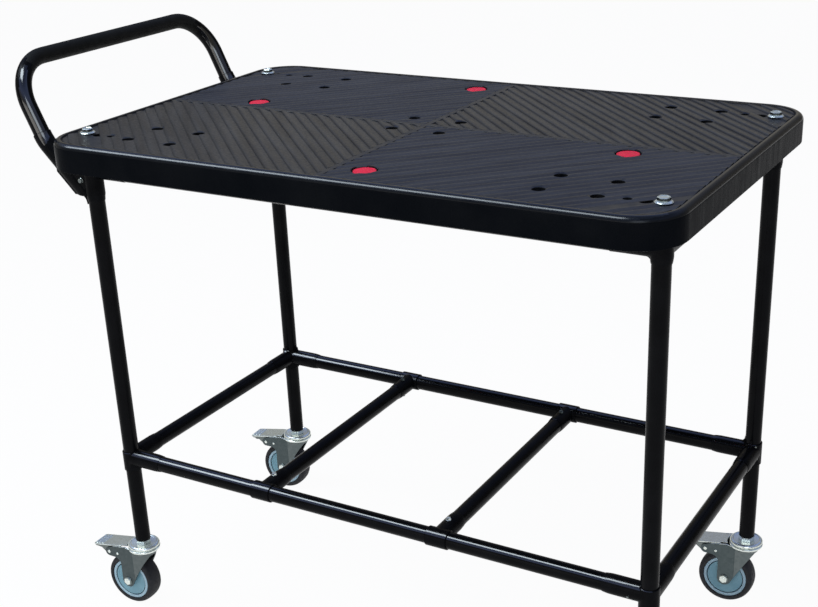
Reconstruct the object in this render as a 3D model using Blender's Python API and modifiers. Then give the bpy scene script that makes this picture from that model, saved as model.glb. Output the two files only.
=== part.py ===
"""Workbench cart: a moulded plastic deck on a clamped pipe frame, with a push handle and braked casters.

Lengths are in metres. The floor is Z = 0, X runs along the cart with the handle at -X, Y points to the back.
"""

import math

import bmesh
import bpy
from mathutils import Matrix, Vector

# Deck
DECK_LENGTH = 1.088
DECK_WIDTH = 0.682
DECK_TOP = 0.924  # working face above the floor
DECK_DROP = 0.0443  # skirt below the working face
DECK_CORNER = 0.075  # corner radius in plan
DECK_EDGE = 0.010  # rounded top edge
RIM_RISE = 0.002
RIM_WIDTH = 0.013
DECK_PLATE = 0.0065  # thickness under the working face
DECK_WALL = 0.006  # skirt thickness
DECK_RIB = 0.004  # stiffening ribs underneath
POCKETS_LONG = 10
POCKETS_WIDE = 6
BOSS_RADIUS = 0.016

# Moulded holes, the same in each quarter of the deck, set out inward from the corner bolt
HOLE_RADIUS = 0.0095
SMALL_HOLE_RADIUS = 0.006
CORNER_HOLE_STEP = 0.025
SMALL_HOLE_STEP = 0.051
GROUP_STEPS_LONG = (0.092, 0.179)
GROUP_STEPS_WIDE = (-0.005, 0.069)
MIDDLE_HOLE = (0.044, 0.037)  # from the centre of the deck

# Red plugs: one at an end and one at a side, repeated by a half turn
PLUG_RADIUS = 0.0178
PLUG_HEAD = 0.0025
PLUG_BODY_RADIUS = 0.0150
PLUG_BODY = 0.0075
PLUG_SINK = 0.0005
PLUG_RING_GAP = 0.0022
END_PLUG_INSET = 0.175  # from the end of the deck
END_PLUG_OFFSET = 0.042  # from its long centre line
SIDE_PLUG_INSET = 0.069  # from the side of the deck
SIDE_PLUG_OFFSET = 0.050  # from its short centre line

# Pipe frame
PIPE_RADIUS = 0.014
PIPE_WALL = 0.0015
LEG_INSET_LONG = 0.040  # deck end to leg axis
LEG_INSET_WIDE = 0.085  # deck side to leg axis
LOWER_RAIL_HEIGHT = 0.3175
BAR_LEFT_X = -0.205
BAR_RIGHT_X = 0.144

# Clamped pipe joints
JOINT_WALL = 0.0018
SOCKET_STEP = 0.0003  # each socket is a little slimmer than the sleeve it leaves
SOCKET_REACH = 0.072  # leg axis to socket mouth
SOCKET_STOP = 0.002  # web between a pipe end and the pipe it meets
LOWER_SLEEVE = 0.040
UPPER_SLEEVE_LIP = 0.0013  # sleeve below the rail sockets
JOINT_CAP = 0.003
JOINT_CROWN = 0.001  # joint top above its sockets
TEE_HALF = 0.0195  # sleeve each side of the branch axis
TEE_REACH = 0.064

# Push handle
ELBOW_OUT = 0.0598  # elbow axis beyond the deck end
HANDLE_RISE = 0.1046  # grip axis above the working face
HANDLE_LEAN = math.radians(25)
HANDLE_BEND = 0.078
HANDLE_MOUTH_DROP = 0.009  # socket mouth below the working face
ELBOW_DROP = 0.022
HANDLE_INSERT = 0.012
STRUT_TILT = math.radians(45)
STRUT_TRIM = 0.0155  # sleeve end above the foot of the strut axis

# Deck bolts
BOLT_RADIUS = 0.005
BOLT_HEX = 0.017  # across flats
BOLT_HEAD = 0.0065
WASHER_RADIUS = 0.013
WASHER_THICK = 0.002
BOLT_GRIP = 0.018  # shank below the joint cap
BOLT_HOLE_GAP = 0.0005

# Casters
WHEEL_RADIUS = 0.052
TYRE_WIDTH = 0.034
TYRE_DEPTH = 0.0115  # tread to hub
TYRE_SHOULDER = 0.006
TYRE_CROWN = 0.0015  # shoulder below the tread
HUB_INSET = 0.001  # hub face inside the tyre side
HUB_BOSS_RADIUS = 0.011
TRAIL = 0.032  # swivel axis to axle
CROWN_CLEARANCE = 0.0205  # tyre to fork crown
STEM_PLUG = 0.030  # length inside the leg
HEX_HEIGHT = 0.0075
STEM_HEX = 0.025  # across flats
RACE_RADIUS = 0.0295
RACE_THICK = 0.0065
RACE_ROUND = 0.003
LOWER_RACE_RADIUS = 0.030
LOWER_RACE_THICK = 0.0042
KING_PIN_RADIUS = 0.007
KING_PIN_HEAD_RADIUS = 0.011
KING_PIN_HEAD = 0.003
FORK_PLATE = 0.0025
FORK_SIDE_GAP = 0.0025  # tyre side to fork plate
FORK_EYE = 0.013
FORK_FRONT = 0.024  # ahead of the swivel axis
FORK_KNEE_FRONT = 0.006
FORK_KNEE_DROP = 0.0327  # below the fork top
FORK_CHIN_DROP = 0.0135
FORK_HORN = 0.009
FORK_STEP = 0.015  # ahead of the pedal pin
FORK_HEEL_DROP = 0.010  # below the horn
AXLE_RADIUS = 0.005
AXLE_HEX = 0.013
AXLE_HEAD = 0.00375
AXLE_TIP = 0.00075  # shank end proud of its head or nut

# Brake pedals
PIVOT_REACH = 0.070  # swivel axis to pedal pin
PIVOT_DROP = 0.0207  # below the fork top
PEDAL_PIN_RADIUS = 0.0025
PEDAL_THICK = 0.0025
PEDAL_LIFT = 0.0108  # pedal underside above its pin
PEDAL_SLOPE = math.radians(9.5)  # down to the tail
PEDAL_RACE_GAP = 0.0035  # pedal front to the race
PEDAL_TAIL = 0.0385  # behind the pin
FLANGE_LENGTH = 0.024
FLANGE_DROP = 0.005  # below the pin axis

# Heading of each trailing wheel, as the cart was left standing
CASTER_HEADINGS = {
    "front_left": math.radians(182),
    "front_right": math.radians(186),
    "back_left": math.radians(184),
    "back_right": math.radians(181),
}

# Clearances
SEAT_GAP = 0.0003
FIT_GAP = 0.0004
OVERSHOOT = 0.010  # how far a cutter runs past what it cuts
WELD = 0.00001

# Facets
PIPE_RESOLUTION = 6
ROUND_SIDES = 16
HOLE_SIDES = 14
HEX_SIDES = 6
WHEEL_STEPS = 28
CORNER_STEPS = 6
EDGE_STEPS = 3
BEND_STEPS = 5
SMOOTH_ANGLE = math.radians(40)

# Places worked out from the sizes above
LEG_X = DECK_LENGTH / 2 - LEG_INSET_LONG
LEG_Y = DECK_WIDTH / 2 - LEG_INSET_WIDE
BORE_RADIUS = PIPE_RADIUS + FIT_GAP
SLEEVE_RADIUS = BORE_RADIUS + JOINT_WALL
LONG_SOCKET_RADIUS = SLEEVE_RADIUS - SOCKET_STEP
END_SOCKET_RADIUS = LONG_SOCKET_RADIUS - SOCKET_STEP
PIPE_STOP = BORE_RADIUS + SOCKET_STOP
PIPE_SETBACK = PIPE_STOP + SEAT_GAP
DECK_UNDER = DECK_TOP - DECK_DROP
JOINT_TOP = DECK_UNDER - SEAT_GAP
UPPER_RAIL_HEIGHT = JOINT_TOP - JOINT_CROWN - SLEEVE_RADIUS
LEG_TOP = JOINT_TOP - JOINT_CAP - SEAT_GAP
AXLE_HEIGHT = WHEEL_RADIUS * math.cos(math.pi / WHEEL_STEPS)  # a facet lies flat on the floor
HUB_RADIUS = WHEEL_RADIUS - TYRE_DEPTH
HUB_FACE = TYRE_WIDTH / 2 - HUB_INSET
FORK_UNDER = AXLE_HEIGHT + WHEEL_RADIUS + CROWN_CLEARANCE
FORK_TOP = FORK_UNDER + LOWER_RACE_THICK
RACE_UNDER = FORK_TOP + SEAT_GAP
RACE_TOP = RACE_UNDER + RACE_THICK
HEX_TOP = RACE_TOP + HEX_HEIGHT
LEG_END = HEX_TOP + SEAT_GAP
FORK_INNER = TYRE_WIDTH / 2 + FORK_SIDE_GAP
FORK_OUTER = FORK_INNER + FORK_PLATE
PIVOT_HEIGHT = FORK_TOP - PIVOT_DROP
PEDAL_HALF = FORK_INNER - SEAT_GAP
PEDAL_FRONT = PIVOT_REACH - LOWER_RACE_RADIUS - PEDAL_RACE_GAP  # ahead of the pin
ELBOW_REACH = LEG_INSET_LONG + ELBOW_OUT  # leg axis to elbow
HANDLE_REACH = ELBOW_REACH + (HANDLE_RISE + ELBOW_DROP) * math.tan(HANDLE_LEAN)  # leg axis to grip
HANDLE_X = -LEG_X - HANDLE_REACH
HANDLE_Z = DECK_TOP + HANDLE_RISE
FRAME_SHIFT = (PIPE_RADIUS - HANDLE_X - DECK_LENGTH / 2) / 2  # centres the whole cart on the origin

CORNERS = {
    "front_left": (-1, -1),
    "front_right": (1, -1),
    "back_left": (-1, 1),
    "back_right": (1, 1),
}


def clear_scene():
    for item in list(bpy.data.objects):
        bpy.data.objects.remove(item, do_unlink=True)


def add_collection(name):
    group = bpy.data.collections.new(name)
    bpy.context.scene.collection.children.link(group)
    return group


def add_material(name, colour, roughness, metallic):
    material = bpy.data.materials.new(name)
    material.use_nodes = True
    shader = material.node_tree.nodes["Principled BSDF"]
    shader.inputs["Base Color"].default_value = (*colour, 1)
    shader.inputs["Roughness"].default_value = roughness
    shader.inputs["Metallic"].default_value = metallic
    return material


clear_scene()
PARTS = add_collection("workbench_cart")
CUTTERS = add_collection("cutters")
DECK_BLACK = add_material("deck_black", (0.030, 0.030, 0.033), 0.55, 0)
PLUG_RED = add_material("plug_red", (0.75, 0.020, 0.045), 0.45, 0)
PIPE_BLACK = add_material("pipe_black", (0.010, 0.010, 0.012), 0.25, 0)
JOINT_BLACK = add_material("joint_black", (0.012, 0.012, 0.013), 0.38, 0.2)
ZINC = add_material("zinc", (0.62, 0.64, 0.66), 0.30, 1)
TYRE_BLACK = add_material("tyre_black", (0.020, 0.020, 0.022), 0.75, 0)
HUB_GREY = add_material("hub_grey", (0.26, 0.36, 0.42), 0.45, 0)


def add_object(name, data, parent, material=None, spot=(0, 0, 0), turn=(0, 0, 0), group=PARTS):
    item = bpy.data.objects.new(name, data)
    group.objects.link(item)
    item.parent = parent
    item.location = spot
    item.rotation_euler = turn
    if material is not None:
        data.materials.append(material)
    return item


def add_empty(name, parent, spot, turn=(0, 0, 0)):
    return add_object(name, None, parent, None, spot, turn)


def mesh_from(name, shape):
    bmesh.ops.recalc_face_normals(shape, faces=shape.faces)
    mesh = bpy.data.meshes.new(name)
    shape.to_mesh(mesh)
    shape.free()
    mesh.shade_smooth()
    mesh.set_sharp_from_angle(angle=SMOOTH_ANGLE)
    return mesh


def add_rod(shape, start, end, radius, sides):
    """Puts a capped round or hexagonal bar between two points into a bmesh."""
    start = Vector(start)
    run = Vector(end) - start
    place = Matrix.Translation(start + run / 2) @ run.to_track_quat("Z", "Y").to_matrix().to_4x4()
    bmesh.ops.create_cone(
        shape,
        cap_ends=True,
        segments=sides,
        radius1=radius,
        radius2=radius,
        depth=run.length,
        matrix=place,
    )


def rod_mesh(name, start, end, radius, sides=ROUND_SIDES):
    shape = bmesh.new()
    add_rod(shape, start, end, radius, sides)
    return mesh_from(name, shape)


def hex_mesh(name, low, high, across_flats):
    return rod_mesh(name, low, high, across_flats / math.sqrt(3), HEX_SIDES)


def add_box(shape, low, high):
    low = Vector(low)
    high = Vector(high)
    size = Matrix.Diagonal((high - low).to_4d())
    size[3][3] = 1
    bmesh.ops.create_cube(shape, size=1, matrix=Matrix.Translation((low + high) / 2) @ size)


def box_mesh(name, low, high):
    shape = bmesh.new()
    add_box(shape, low, high)
    return mesh_from(name, shape)


def slab_mesh(name, length, width, low, high, corner, edge=0.0):
    """A slab with rounded upright corners and, where asked, a rounded top edge."""
    shape = bmesh.new()
    add_box(shape, (-length / 2, -width / 2, low), (length / 2, width / 2, high))
    upright = [e for e in shape.edges if abs(e.verts[0].co.z - e.verts[1].co.z) > WELD]
    bmesh.ops.bevel(shape, geom=upright, offset=corner, segments=CORNER_STEPS, profile=0.5, affect="EDGES")
    if edge > 0:
        rim = [e for e in shape.edges if min(v.co.z for v in e.verts) > high - WELD]
        bmesh.ops.bevel(shape, geom=rim, offset=edge, segments=EDGE_STEPS, profile=0.5, affect="EDGES")
    return mesh_from(name, shape)


def turned(name, profile, steps, parent, material, spot=(0, 0, 0), turn=(0, 0, 0), ring=False):
    """Spins a profile of (radius, height) points, listed down its outer side, about local Z."""
    mesh = bpy.data.meshes.new(name)
    links = [(i, i + 1) for i in range(len(profile) - 1)]
    if ring:
        links.append((len(profile) - 1, 0))
    mesh.from_pydata([(radius, 0, height) for radius, height in profile], links, [])
    item = add_object(name, mesh, parent, material, spot, turn)
    spin = item.modifiers.new("spin", "SCREW")
    spin.axis = "Z"
    spin.angle = math.tau
    spin.steps = steps
    spin.render_steps = steps
    spin.use_merge_vertices = True
    spin.merge_threshold = WELD
    spin.use_smooth_shade = True
    return item


def curve_mesh(name, curve):
    """The mesh of a curve, with its loose caps welded on."""
    guide = bpy.data.objects.new(name, curve)
    PARTS.objects.link(guide)
    bpy.context.view_layer.update()
    mesh = bpy.data.meshes.new_from_object(guide.evaluated_get(bpy.context.evaluated_depsgraph_get()))
    bpy.data.objects.remove(guide, do_unlink=True)
    shape = bmesh.new()
    shape.from_mesh(mesh)
    bmesh.ops.remove_doubles(shape, verts=shape.verts, dist=WELD)
    return mesh_from(name, shape)


def tube_mesh(name, points, radius, capped):
    """A bevelled curve through the points: a solid bar if capped, otherwise an open skin."""
    curve = bpy.data.curves.new(name, "CURVE")
    curve.dimensions = "3D"
    curve.bevel_depth = radius
    curve.bevel_resolution = PIPE_RESOLUTION
    curve.use_fill_caps = capped
    spline = curve.splines.new("POLY")
    spline.points.add(len(points) - 1)
    for knot, point in zip(spline.points, points):
        knot.co = (*point, 1)
    return curve_mesh(name, curve)


def add_pipe(name, points, parent, spot=(0, 0, 0)):
    """An open pipe along the points, with its wall inside the outer skin."""
    item = add_object(name, tube_mesh(name, points, PIPE_RADIUS, False), parent, PIPE_BLACK, spot)
    wall = item.modifiers.new("wall", "SOLIDIFY")
    wall.thickness = PIPE_WALL
    wall.offset = -1
    wall.use_even_offset = True
    return item


def plate_mesh(name, outline, thickness):
    """A flat plate in local XY from a closed outline."""
    curve = bpy.data.curves.new(name, "CURVE")
    curve.dimensions = "2D"
    curve.fill_mode = "BOTH"
    curve.extrude = thickness / 2
    spline = curve.splines.new("POLY")
    spline.points.add(len(outline) - 1)
    for knot, (x, y) in zip(spline.points, outline):
        knot.co = (x, y, 0, 1)
    spline.use_cyclic_u = True
    return curve_mesh(name, curve)


def combine(target, name, mesh, operation, spot=(0, 0, 0), turn=(0, 0, 0)):
    """Joins or cuts a piece with a mesh given in the piece's own frame."""
    tool = add_object(name, mesh, target, None, spot, turn, CUTTERS)
    tool.hide_render = True
    tool.display_type = "WIRE"
    change = target.modifiers.new(name, "BOOLEAN")
    change.operation = operation
    change.solver = "EXACT"
    change.object = tool
    return tool


def join(target, name, mesh, spot=(0, 0, 0), turn=(0, 0, 0)):
    return combine(target, name, mesh, "UNION", spot, turn)


def cut(target, name, mesh, spot=(0, 0, 0), turn=(0, 0, 0)):
    return combine(target, name, mesh, "DIFFERENCE", spot, turn)


def arc(centre, radius, start, end, steps):
    """Points of a circular arc in a plane, with both ends."""
    points = []
    for i in range(steps + 1):
        angle = start + (end - start) * i / steps
        points.append((centre[0] + radius * math.cos(angle), centre[1] + radius * math.sin(angle)))
    return points


def plug_places():
    """Names and places of the four plugs, each pair half a turn apart."""
    end = DECK_LENGTH / 2 - END_PLUG_INSET
    side = DECK_WIDTH / 2 - SIDE_PLUG_INSET
    return {
        "right": (end, -END_PLUG_OFFSET),
        "left": (-end, END_PLUG_OFFSET),
        "front": (SIDE_PLUG_OFFSET, -side),
        "back": (-SIDE_PLUG_OFFSET, side),
    }


def deck_pockets():
    """Boxes that hollow the deck from below and leave a grid of ribs, walls and bolt bosses."""
    shape = bmesh.new()
    cell_x = (DECK_LENGTH - 2 * DECK_WALL + DECK_RIB) / POCKETS_LONG
    cell_y = (DECK_WIDTH - 2 * DECK_WALL + DECK_RIB) / POCKETS_WIDE
    for i in range(POCKETS_LONG):
        for j in range(POCKETS_WIDE):
            low_x = (i - POCKETS_LONG / 2) * cell_x + DECK_RIB / 2
            low_y = (j - POCKETS_WIDE / 2) * cell_y + DECK_RIB / 2
            high_x = low_x + cell_x - DECK_RIB
            high_y = low_y + cell_y - DECK_RIB
            # The outer cells run past the skirt's inner face, which then trims them.
            low_x -= OVERSHOOT * (i == 0)
            low_y -= OVERSHOOT * (j == 0)
            high_x += OVERSHOOT * (i == POCKETS_LONG - 1)
            high_y += OVERSHOOT * (j == POCKETS_WIDE - 1)
            add_box(shape, (low_x, low_y, -DECK_DROP - OVERSHOOT), (high_x, high_y, -DECK_PLATE))
    return mesh_from("deck_pockets", shape)


def deck_holes():
    """Through holes of one quarter of the deck, repeated in all four, and the bolt holes."""
    shape = bmesh.new()
    steps = [(long, wide) for long in GROUP_STEPS_LONG for wide in GROUP_STEPS_WIDE]
    quarter = [(LEG_X - long, LEG_Y - wide, HOLE_RADIUS) for long, wide in steps]
    quarter.append((*MIDDLE_HOLE, HOLE_RADIUS))
    quarter.append((LEG_X - CORNER_HOLE_STEP, LEG_Y, HOLE_RADIUS))
    quarter.append((LEG_X - SMALL_HOLE_STEP, LEG_Y, SMALL_HOLE_RADIUS))
    quarter.append((LEG_X, LEG_Y, BOLT_RADIUS + BOLT_HOLE_GAP))
    for side_x, side_y in CORNERS.values():
        for x, y, radius in quarter:
            low = (side_x * x, side_y * y, -DECK_DROP - OVERSHOOT)
            high = (side_x * x, side_y * y, OVERSHOOT)
            add_rod(shape, low, high, radius, HOLE_SIDES)
    return mesh_from("deck_holes", shape)


def plug_seats(name, radius, depth):
    shape = bmesh.new()
    for x, y in plug_places().values():
        add_rod(shape, (x, y, -depth), (x, y, OVERSHOOT), radius, ROUND_SIDES)
    return mesh_from(name, shape)


def build_deck(cart):
    body = slab_mesh("deck_panel", DECK_LENGTH, DECK_WIDTH, -DECK_DROP, RIM_RISE, DECK_CORNER, DECK_EDGE)
    deck = add_object("deck_panel", body, cart, DECK_BLACK, (0, 0, DECK_TOP))
    field = slab_mesh(
        "deck_field",
        DECK_LENGTH - 2 * RIM_WIDTH,
        DECK_WIDTH - 2 * RIM_WIDTH,
        0,
        OVERSHOOT,
        DECK_CORNER - RIM_WIDTH,
    )
    cut(deck, "deck_field", field)
    pockets = cut(deck, "deck_pockets", deck_pockets())
    inside = slab_mesh(
        "deck_inside",
        DECK_LENGTH - 2 * DECK_WALL,
        DECK_WIDTH - 2 * DECK_WALL,
        -DECK_DROP - 2 * OVERSHOOT,
        OVERSHOOT,
        DECK_CORNER - DECK_WALL,
    )
    combine(pockets, "deck_inside", inside, "INTERSECT")
    bosses = bmesh.new()
    for side_x, side_y in CORNERS.values():
        x = side_x * LEG_X
        y = side_y * LEG_Y
        add_rod(bosses, (x, y, -DECK_DROP - 2 * OVERSHOOT), (x, y, OVERSHOOT), BOSS_RADIUS, ROUND_SIDES)
    cut(pockets, "deck_bosses", mesh_from("deck_bosses", bosses))
    cut(deck, "deck_holes", deck_holes())
    ledge = PLUG_SINK + PLUG_HEAD + SEAT_GAP
    cut(deck, "plug_rims", plug_seats("plug_rims", PLUG_RADIUS + PLUG_RING_GAP, ledge))
    cut(deck, "plug_bores", plug_seats("plug_bores", PLUG_BODY_RADIUS + FIT_GAP, DECK_DROP + OVERSHOOT))


def build_plugs(cart):
    profile = [
        (0, -PLUG_SINK),
        (PLUG_RADIUS, -PLUG_SINK),
        (PLUG_RADIUS, -PLUG_SINK - PLUG_HEAD),
        (PLUG_BODY_RADIUS, -PLUG_SINK - PLUG_HEAD),
        (PLUG_BODY_RADIUS, -PLUG_SINK - PLUG_HEAD - PLUG_BODY),
        (0, -PLUG_SINK - PLUG_HEAD - PLUG_BODY),
    ]
    for side, (x, y) in plug_places().items():
        turned("red_plug_" + side, profile, ROUND_SIDES, cart, PLUG_RED, (x, y, DECK_TOP))


def build_deck_bolt(corner, x, y, cart):
    foot = JOINT_TOP - JOINT_CAP - BOLT_GRIP - DECK_TOP
    profile = [
        (0, SEAT_GAP + WASHER_THICK),
        (WASHER_RADIUS, SEAT_GAP + WASHER_THICK),
        (WASHER_RADIUS, SEAT_GAP),
        (BOLT_RADIUS, SEAT_GAP),
        (BOLT_RADIUS, foot),
        (0, foot),
    ]
    bolt = turned("deck_bolt_" + corner, profile, ROUND_SIDES, cart, ZINC, (x, y, DECK_TOP))
    top = SEAT_GAP + WASHER_THICK + BOLT_HEAD
    head = hex_mesh("bolt_head_" + corner, (0, 0, SEAT_GAP + WASHER_THICK / 2), (0, 0, top), BOLT_HEX)
    join(bolt, "bolt_head_" + corner, head)


def add_joint(name, cart, spot, low, high):
    """A joint starts as a sleeve along the upright pipe, about the joint's centre."""
    mesh = rod_mesh(name, (0, 0, low), (0, 0, high), SLEEVE_RADIUS)
    return add_object(name, mesh, cart, JOINT_BLACK, spot)


def add_socket(joint, label, direction, radius, reach):
    """Joins a socket to a joint and gives its bore, which stops short of the pipe that the joint clamps."""
    axis = Vector(direction)
    join(joint, label, rod_mesh(label, (0, 0, 0), axis * reach, radius))
    bore = rod_mesh(label + "_bore", axis * PIPE_STOP, axis * (reach + OVERSHOOT), BORE_RADIUS)
    return label + "_bore", bore


def strut_line():
    """Foot, elbow and mouth of a handle strut, as (x from the leg axis, height)."""
    elbow_z = DECK_TOP - ELBOW_DROP
    elbow_x = -ELBOW_REACH
    mouth_z = DECK_TOP - HANDLE_MOUTH_DROP
    mouth_x = -HANDLE_REACH + (HANDLE_Z - mouth_z) * math.tan(HANDLE_LEAN)
    foot_z = elbow_z + elbow_x / math.tan(STRUT_TILT)
    return Vector((0, 0, foot_z)), Vector((elbow_x, 0, elbow_z)), Vector((mouth_x, 0, mouth_z))


def handle_direction():
    """Unit vector up the leaning arm of the handle."""
    return Vector((-math.sin(HANDLE_LEAN), 0, math.cos(HANDLE_LEAN)))


def build_upper_joint(corner, side_x, side_y, cart):
    centre = Vector((side_x * LEG_X, side_y * LEG_Y, UPPER_RAIL_HEIGHT))
    lift = Vector((0, 0, -UPPER_RAIL_HEIGHT))
    foot, elbow, mouth = (point + lift for point in strut_line())
    low = foot.z + STRUT_TRIM if side_x < 0 else -SLEEVE_RADIUS - UPPER_SLEEVE_LIP
    high = JOINT_TOP - UPPER_RAIL_HEIGHT
    name = "upper_joint_" + corner
    joint = add_joint(name, cart, centre, low, high)
    bores = [
        add_socket(joint, corner + "_long", (-side_x, 0, 0), LONG_SOCKET_RADIUS, SOCKET_REACH),
        add_socket(joint, corner + "_end", (0, -side_y, 0), END_SOCKET_RADIUS, SOCKET_REACH),
    ]
    if side_x < 0:
        strut = tube_mesh(corner + "_strut", [foot, elbow, mouth], END_SOCKET_RADIUS, True)
        join(joint, corner + "_strut", strut)
        trim_low = (-SOCKET_REACH, -SOCKET_REACH, foot.z - SOCKET_REACH)
        trim_high = (SOCKET_REACH, SOCKET_REACH, low)
        cut(joint, corner + "_trim", box_mesh(corner + "_trim", trim_low, trim_high))
        up = handle_direction()
        seat = mouth - up * (HANDLE_INSERT + SEAT_GAP)
        bores.append((corner + "_mouth", rod_mesh(corner + "_mouth", seat, mouth + up * OVERSHOOT, BORE_RADIUS)))
    leg_seat = LEG_TOP + SEAT_GAP - UPPER_RAIL_HEIGHT
    leg_bore = rod_mesh(corner + "_leg", (0, 0, low - OVERSHOOT), (0, 0, leg_seat), BORE_RADIUS)
    bores.append((corner + "_leg", leg_bore))
    hole = rod_mesh(corner + "_bolt", (0, 0, 0), (0, 0, high + OVERSHOOT), BOLT_RADIUS + BOLT_HOLE_GAP)
    bores.append((corner + "_bolt", hole))
    for label, bore in bores:
        cut(joint, label, bore)


def build_lower_joint(corner, side_x, side_y, cart):
    centre = (side_x * LEG_X, side_y * LEG_Y, LOWER_RAIL_HEIGHT)
    half = LOWER_SLEEVE / 2
    joint = add_joint("lower_joint_" + corner, cart, centre, -half, half)
    bores = [
        add_socket(joint, corner + "_low_long", (-side_x, 0, 0), LONG_SOCKET_RADIUS, SOCKET_REACH),
        add_socket(joint, corner + "_low_end", (0, -side_y, 0), END_SOCKET_RADIUS, SOCKET_REACH),
    ]
    run = rod_mesh(corner + "_low_leg", (0, 0, -half - OVERSHOOT), (0, 0, half + OVERSHOOT), BORE_RADIUS)
    bores.append((corner + "_low_leg", run))
    for label, bore in bores:
        cut(joint, label, bore)


def build_tee(place, x, side_y, cart):
    """A tee clamped round a lower rail, with a socket for a cross bar."""
    name = "tee_joint_" + place
    sleeve = rod_mesh(name, (-TEE_HALF, 0, 0), (TEE_HALF, 0, 0), SLEEVE_RADIUS)
    tee = add_object(name, sleeve, cart, JOINT_BLACK, (x, side_y * LEG_Y, LOWER_RAIL_HEIGHT))
    label, bore = add_socket(tee, place + "_branch", (0, -side_y, 0), END_SOCKET_RADIUS, TEE_REACH)
    cut(tee, label, bore)
    past = TEE_HALF + OVERSHOOT
    run = rod_mesh(place + "_run", (-past, 0, 0), (past, 0, 0), BORE_RADIUS)
    cut(tee, place + "_run", run)


def build_rails(level, height, cart):
    """Four rails between the legs at one height."""
    half_x = LEG_X - PIPE_SETBACK
    half_y = LEG_Y - PIPE_SETBACK
    for side, sign in (("front", -1), ("back", 1)):
        ends = [(-half_x, 0, 0), (half_x, 0, 0)]
        add_pipe(level + "_rail_" + side, ends, cart, (0, sign * LEG_Y, height))
    for side, sign in (("left", -1), ("right", 1)):
        ends = [(0, -half_y, 0), (0, half_y, 0)]
        add_pipe(level + "_rail_" + side, ends, cart, (sign * LEG_X, 0, height))


def build_bars(cart):
    half = LEG_Y - PIPE_SETBACK
    for side, x in (("left", BAR_LEFT_X), ("right", BAR_RIGHT_X)):
        add_pipe("cross_bar_" + side, [(0, -half, 0), (0, half, 0)], cart, (x, 0, LOWER_RAIL_HEIGHT))
        for row, sign in (("front", -1), ("back", 1)):
            build_tee(row + "_" + side, x, sign, cart)


def build_handle(cart):
    """One bent pipe: up one leaning arm, along the grip and down the other arm."""
    up = handle_direction()
    mouth = strut_line()[2]
    grip = Vector((-HANDLE_REACH, 0, HANDLE_Z))
    arm = (grip - mouth).length + HANDLE_INSERT
    path = [(-LEG_Y, -arm)]
    path += arc((HANDLE_BEND - LEG_Y, -HANDLE_BEND), HANDLE_BEND, math.pi, math.pi / 2, BEND_STEPS)
    path += arc((LEG_Y - HANDLE_BEND, -HANDLE_BEND), HANDLE_BEND, math.pi / 2, 0, BEND_STEPS)
    path.append((LEG_Y, -arm))
    points = [Vector((0, side, 0)) + up * rise for side, rise in path]
    add_pipe("push_handle", points, cart, (HANDLE_X, 0, HANDLE_Z))


def build_frame(cart):
    for corner, (side_x, side_y) in CORNERS.items():
        x = side_x * LEG_X
        y = side_y * LEG_Y
        add_pipe("leg_" + corner, [(0, 0, LEG_END), (0, 0, LEG_TOP)], cart, (x, y, 0))
        build_upper_joint(corner, side_x, side_y, cart)
        build_lower_joint(corner, side_x, side_y, cart)
        build_deck_bolt(corner, x, y, cart)
    build_rails("upper", UPPER_RAIL_HEIGHT, cart)
    build_rails("lower", LOWER_RAIL_HEIGHT, cart)
    build_bars(cart)
    build_handle(cart)


def build_stem(corner, swivel):
    """Leg plug, hexagon, upper race and king pin of one caster."""
    plug = PIPE_RADIUS - PIPE_WALL - FIT_GAP
    head_top = FORK_UNDER - SEAT_GAP
    profile = [
        (0, LEG_END + STEM_PLUG),
        (plug, LEG_END + STEM_PLUG),
        (plug, RACE_TOP),
        (RACE_RADIUS - RACE_ROUND, RACE_TOP),
        (RACE_RADIUS, RACE_TOP - RACE_ROUND),
        (RACE_RADIUS, RACE_UNDER),
        (KING_PIN_RADIUS, RACE_UNDER),
        (KING_PIN_RADIUS, head_top),
        (KING_PIN_HEAD_RADIUS, head_top),
        (KING_PIN_HEAD_RADIUS, head_top - KING_PIN_HEAD),
        (0, head_top - KING_PIN_HEAD),
    ]
    stem = turned("caster_stem_" + corner, profile, ROUND_SIDES, swivel, ZINC)
    hexagon = hex_mesh(corner + "_hex", (0, 0, RACE_TOP - RACE_ROUND), (0, 0, HEX_TOP), STEM_HEX)
    join(stem, corner + "_hex", hexagon)


def fork_outline():
    """Side plate of a fork: (distance along the trail, height), from the front of the race round."""
    top = FORK_TOP - LOWER_RACE_THICK / 2
    horn = (PIVOT_REACH, PIVOT_HEIGHT)
    eye = (TRAIL, AXLE_HEIGHT)
    run = TRAIL + FORK_KNEE_FRONT
    rise = FORK_TOP - FORK_KNEE_DROP - AXLE_HEIGHT
    tangent = math.atan2(rise, run) + math.asin(FORK_EYE / math.hypot(run, rise))
    outline = [
        (-FORK_FRONT, top),
        (-FORK_FRONT, FORK_TOP - FORK_CHIN_DROP),
        (-FORK_KNEE_FRONT, FORK_TOP - FORK_KNEE_DROP),
    ]
    outline += arc(eye, FORK_EYE, -math.pi / 2 - tangent, 0, CORNER_STEPS)
    outline.append((TRAIL + FORK_EYE, PIVOT_HEIGHT - FORK_HORN - FORK_HEEL_DROP))
    outline.append((PIVOT_REACH - FORK_STEP, PIVOT_HEIGHT - FORK_HORN))
    outline += arc(horn, FORK_HORN, -math.pi / 2, math.pi / 3, CORNER_STEPS)
    outline.append((FORK_FRONT, top))
    return outline


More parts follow.
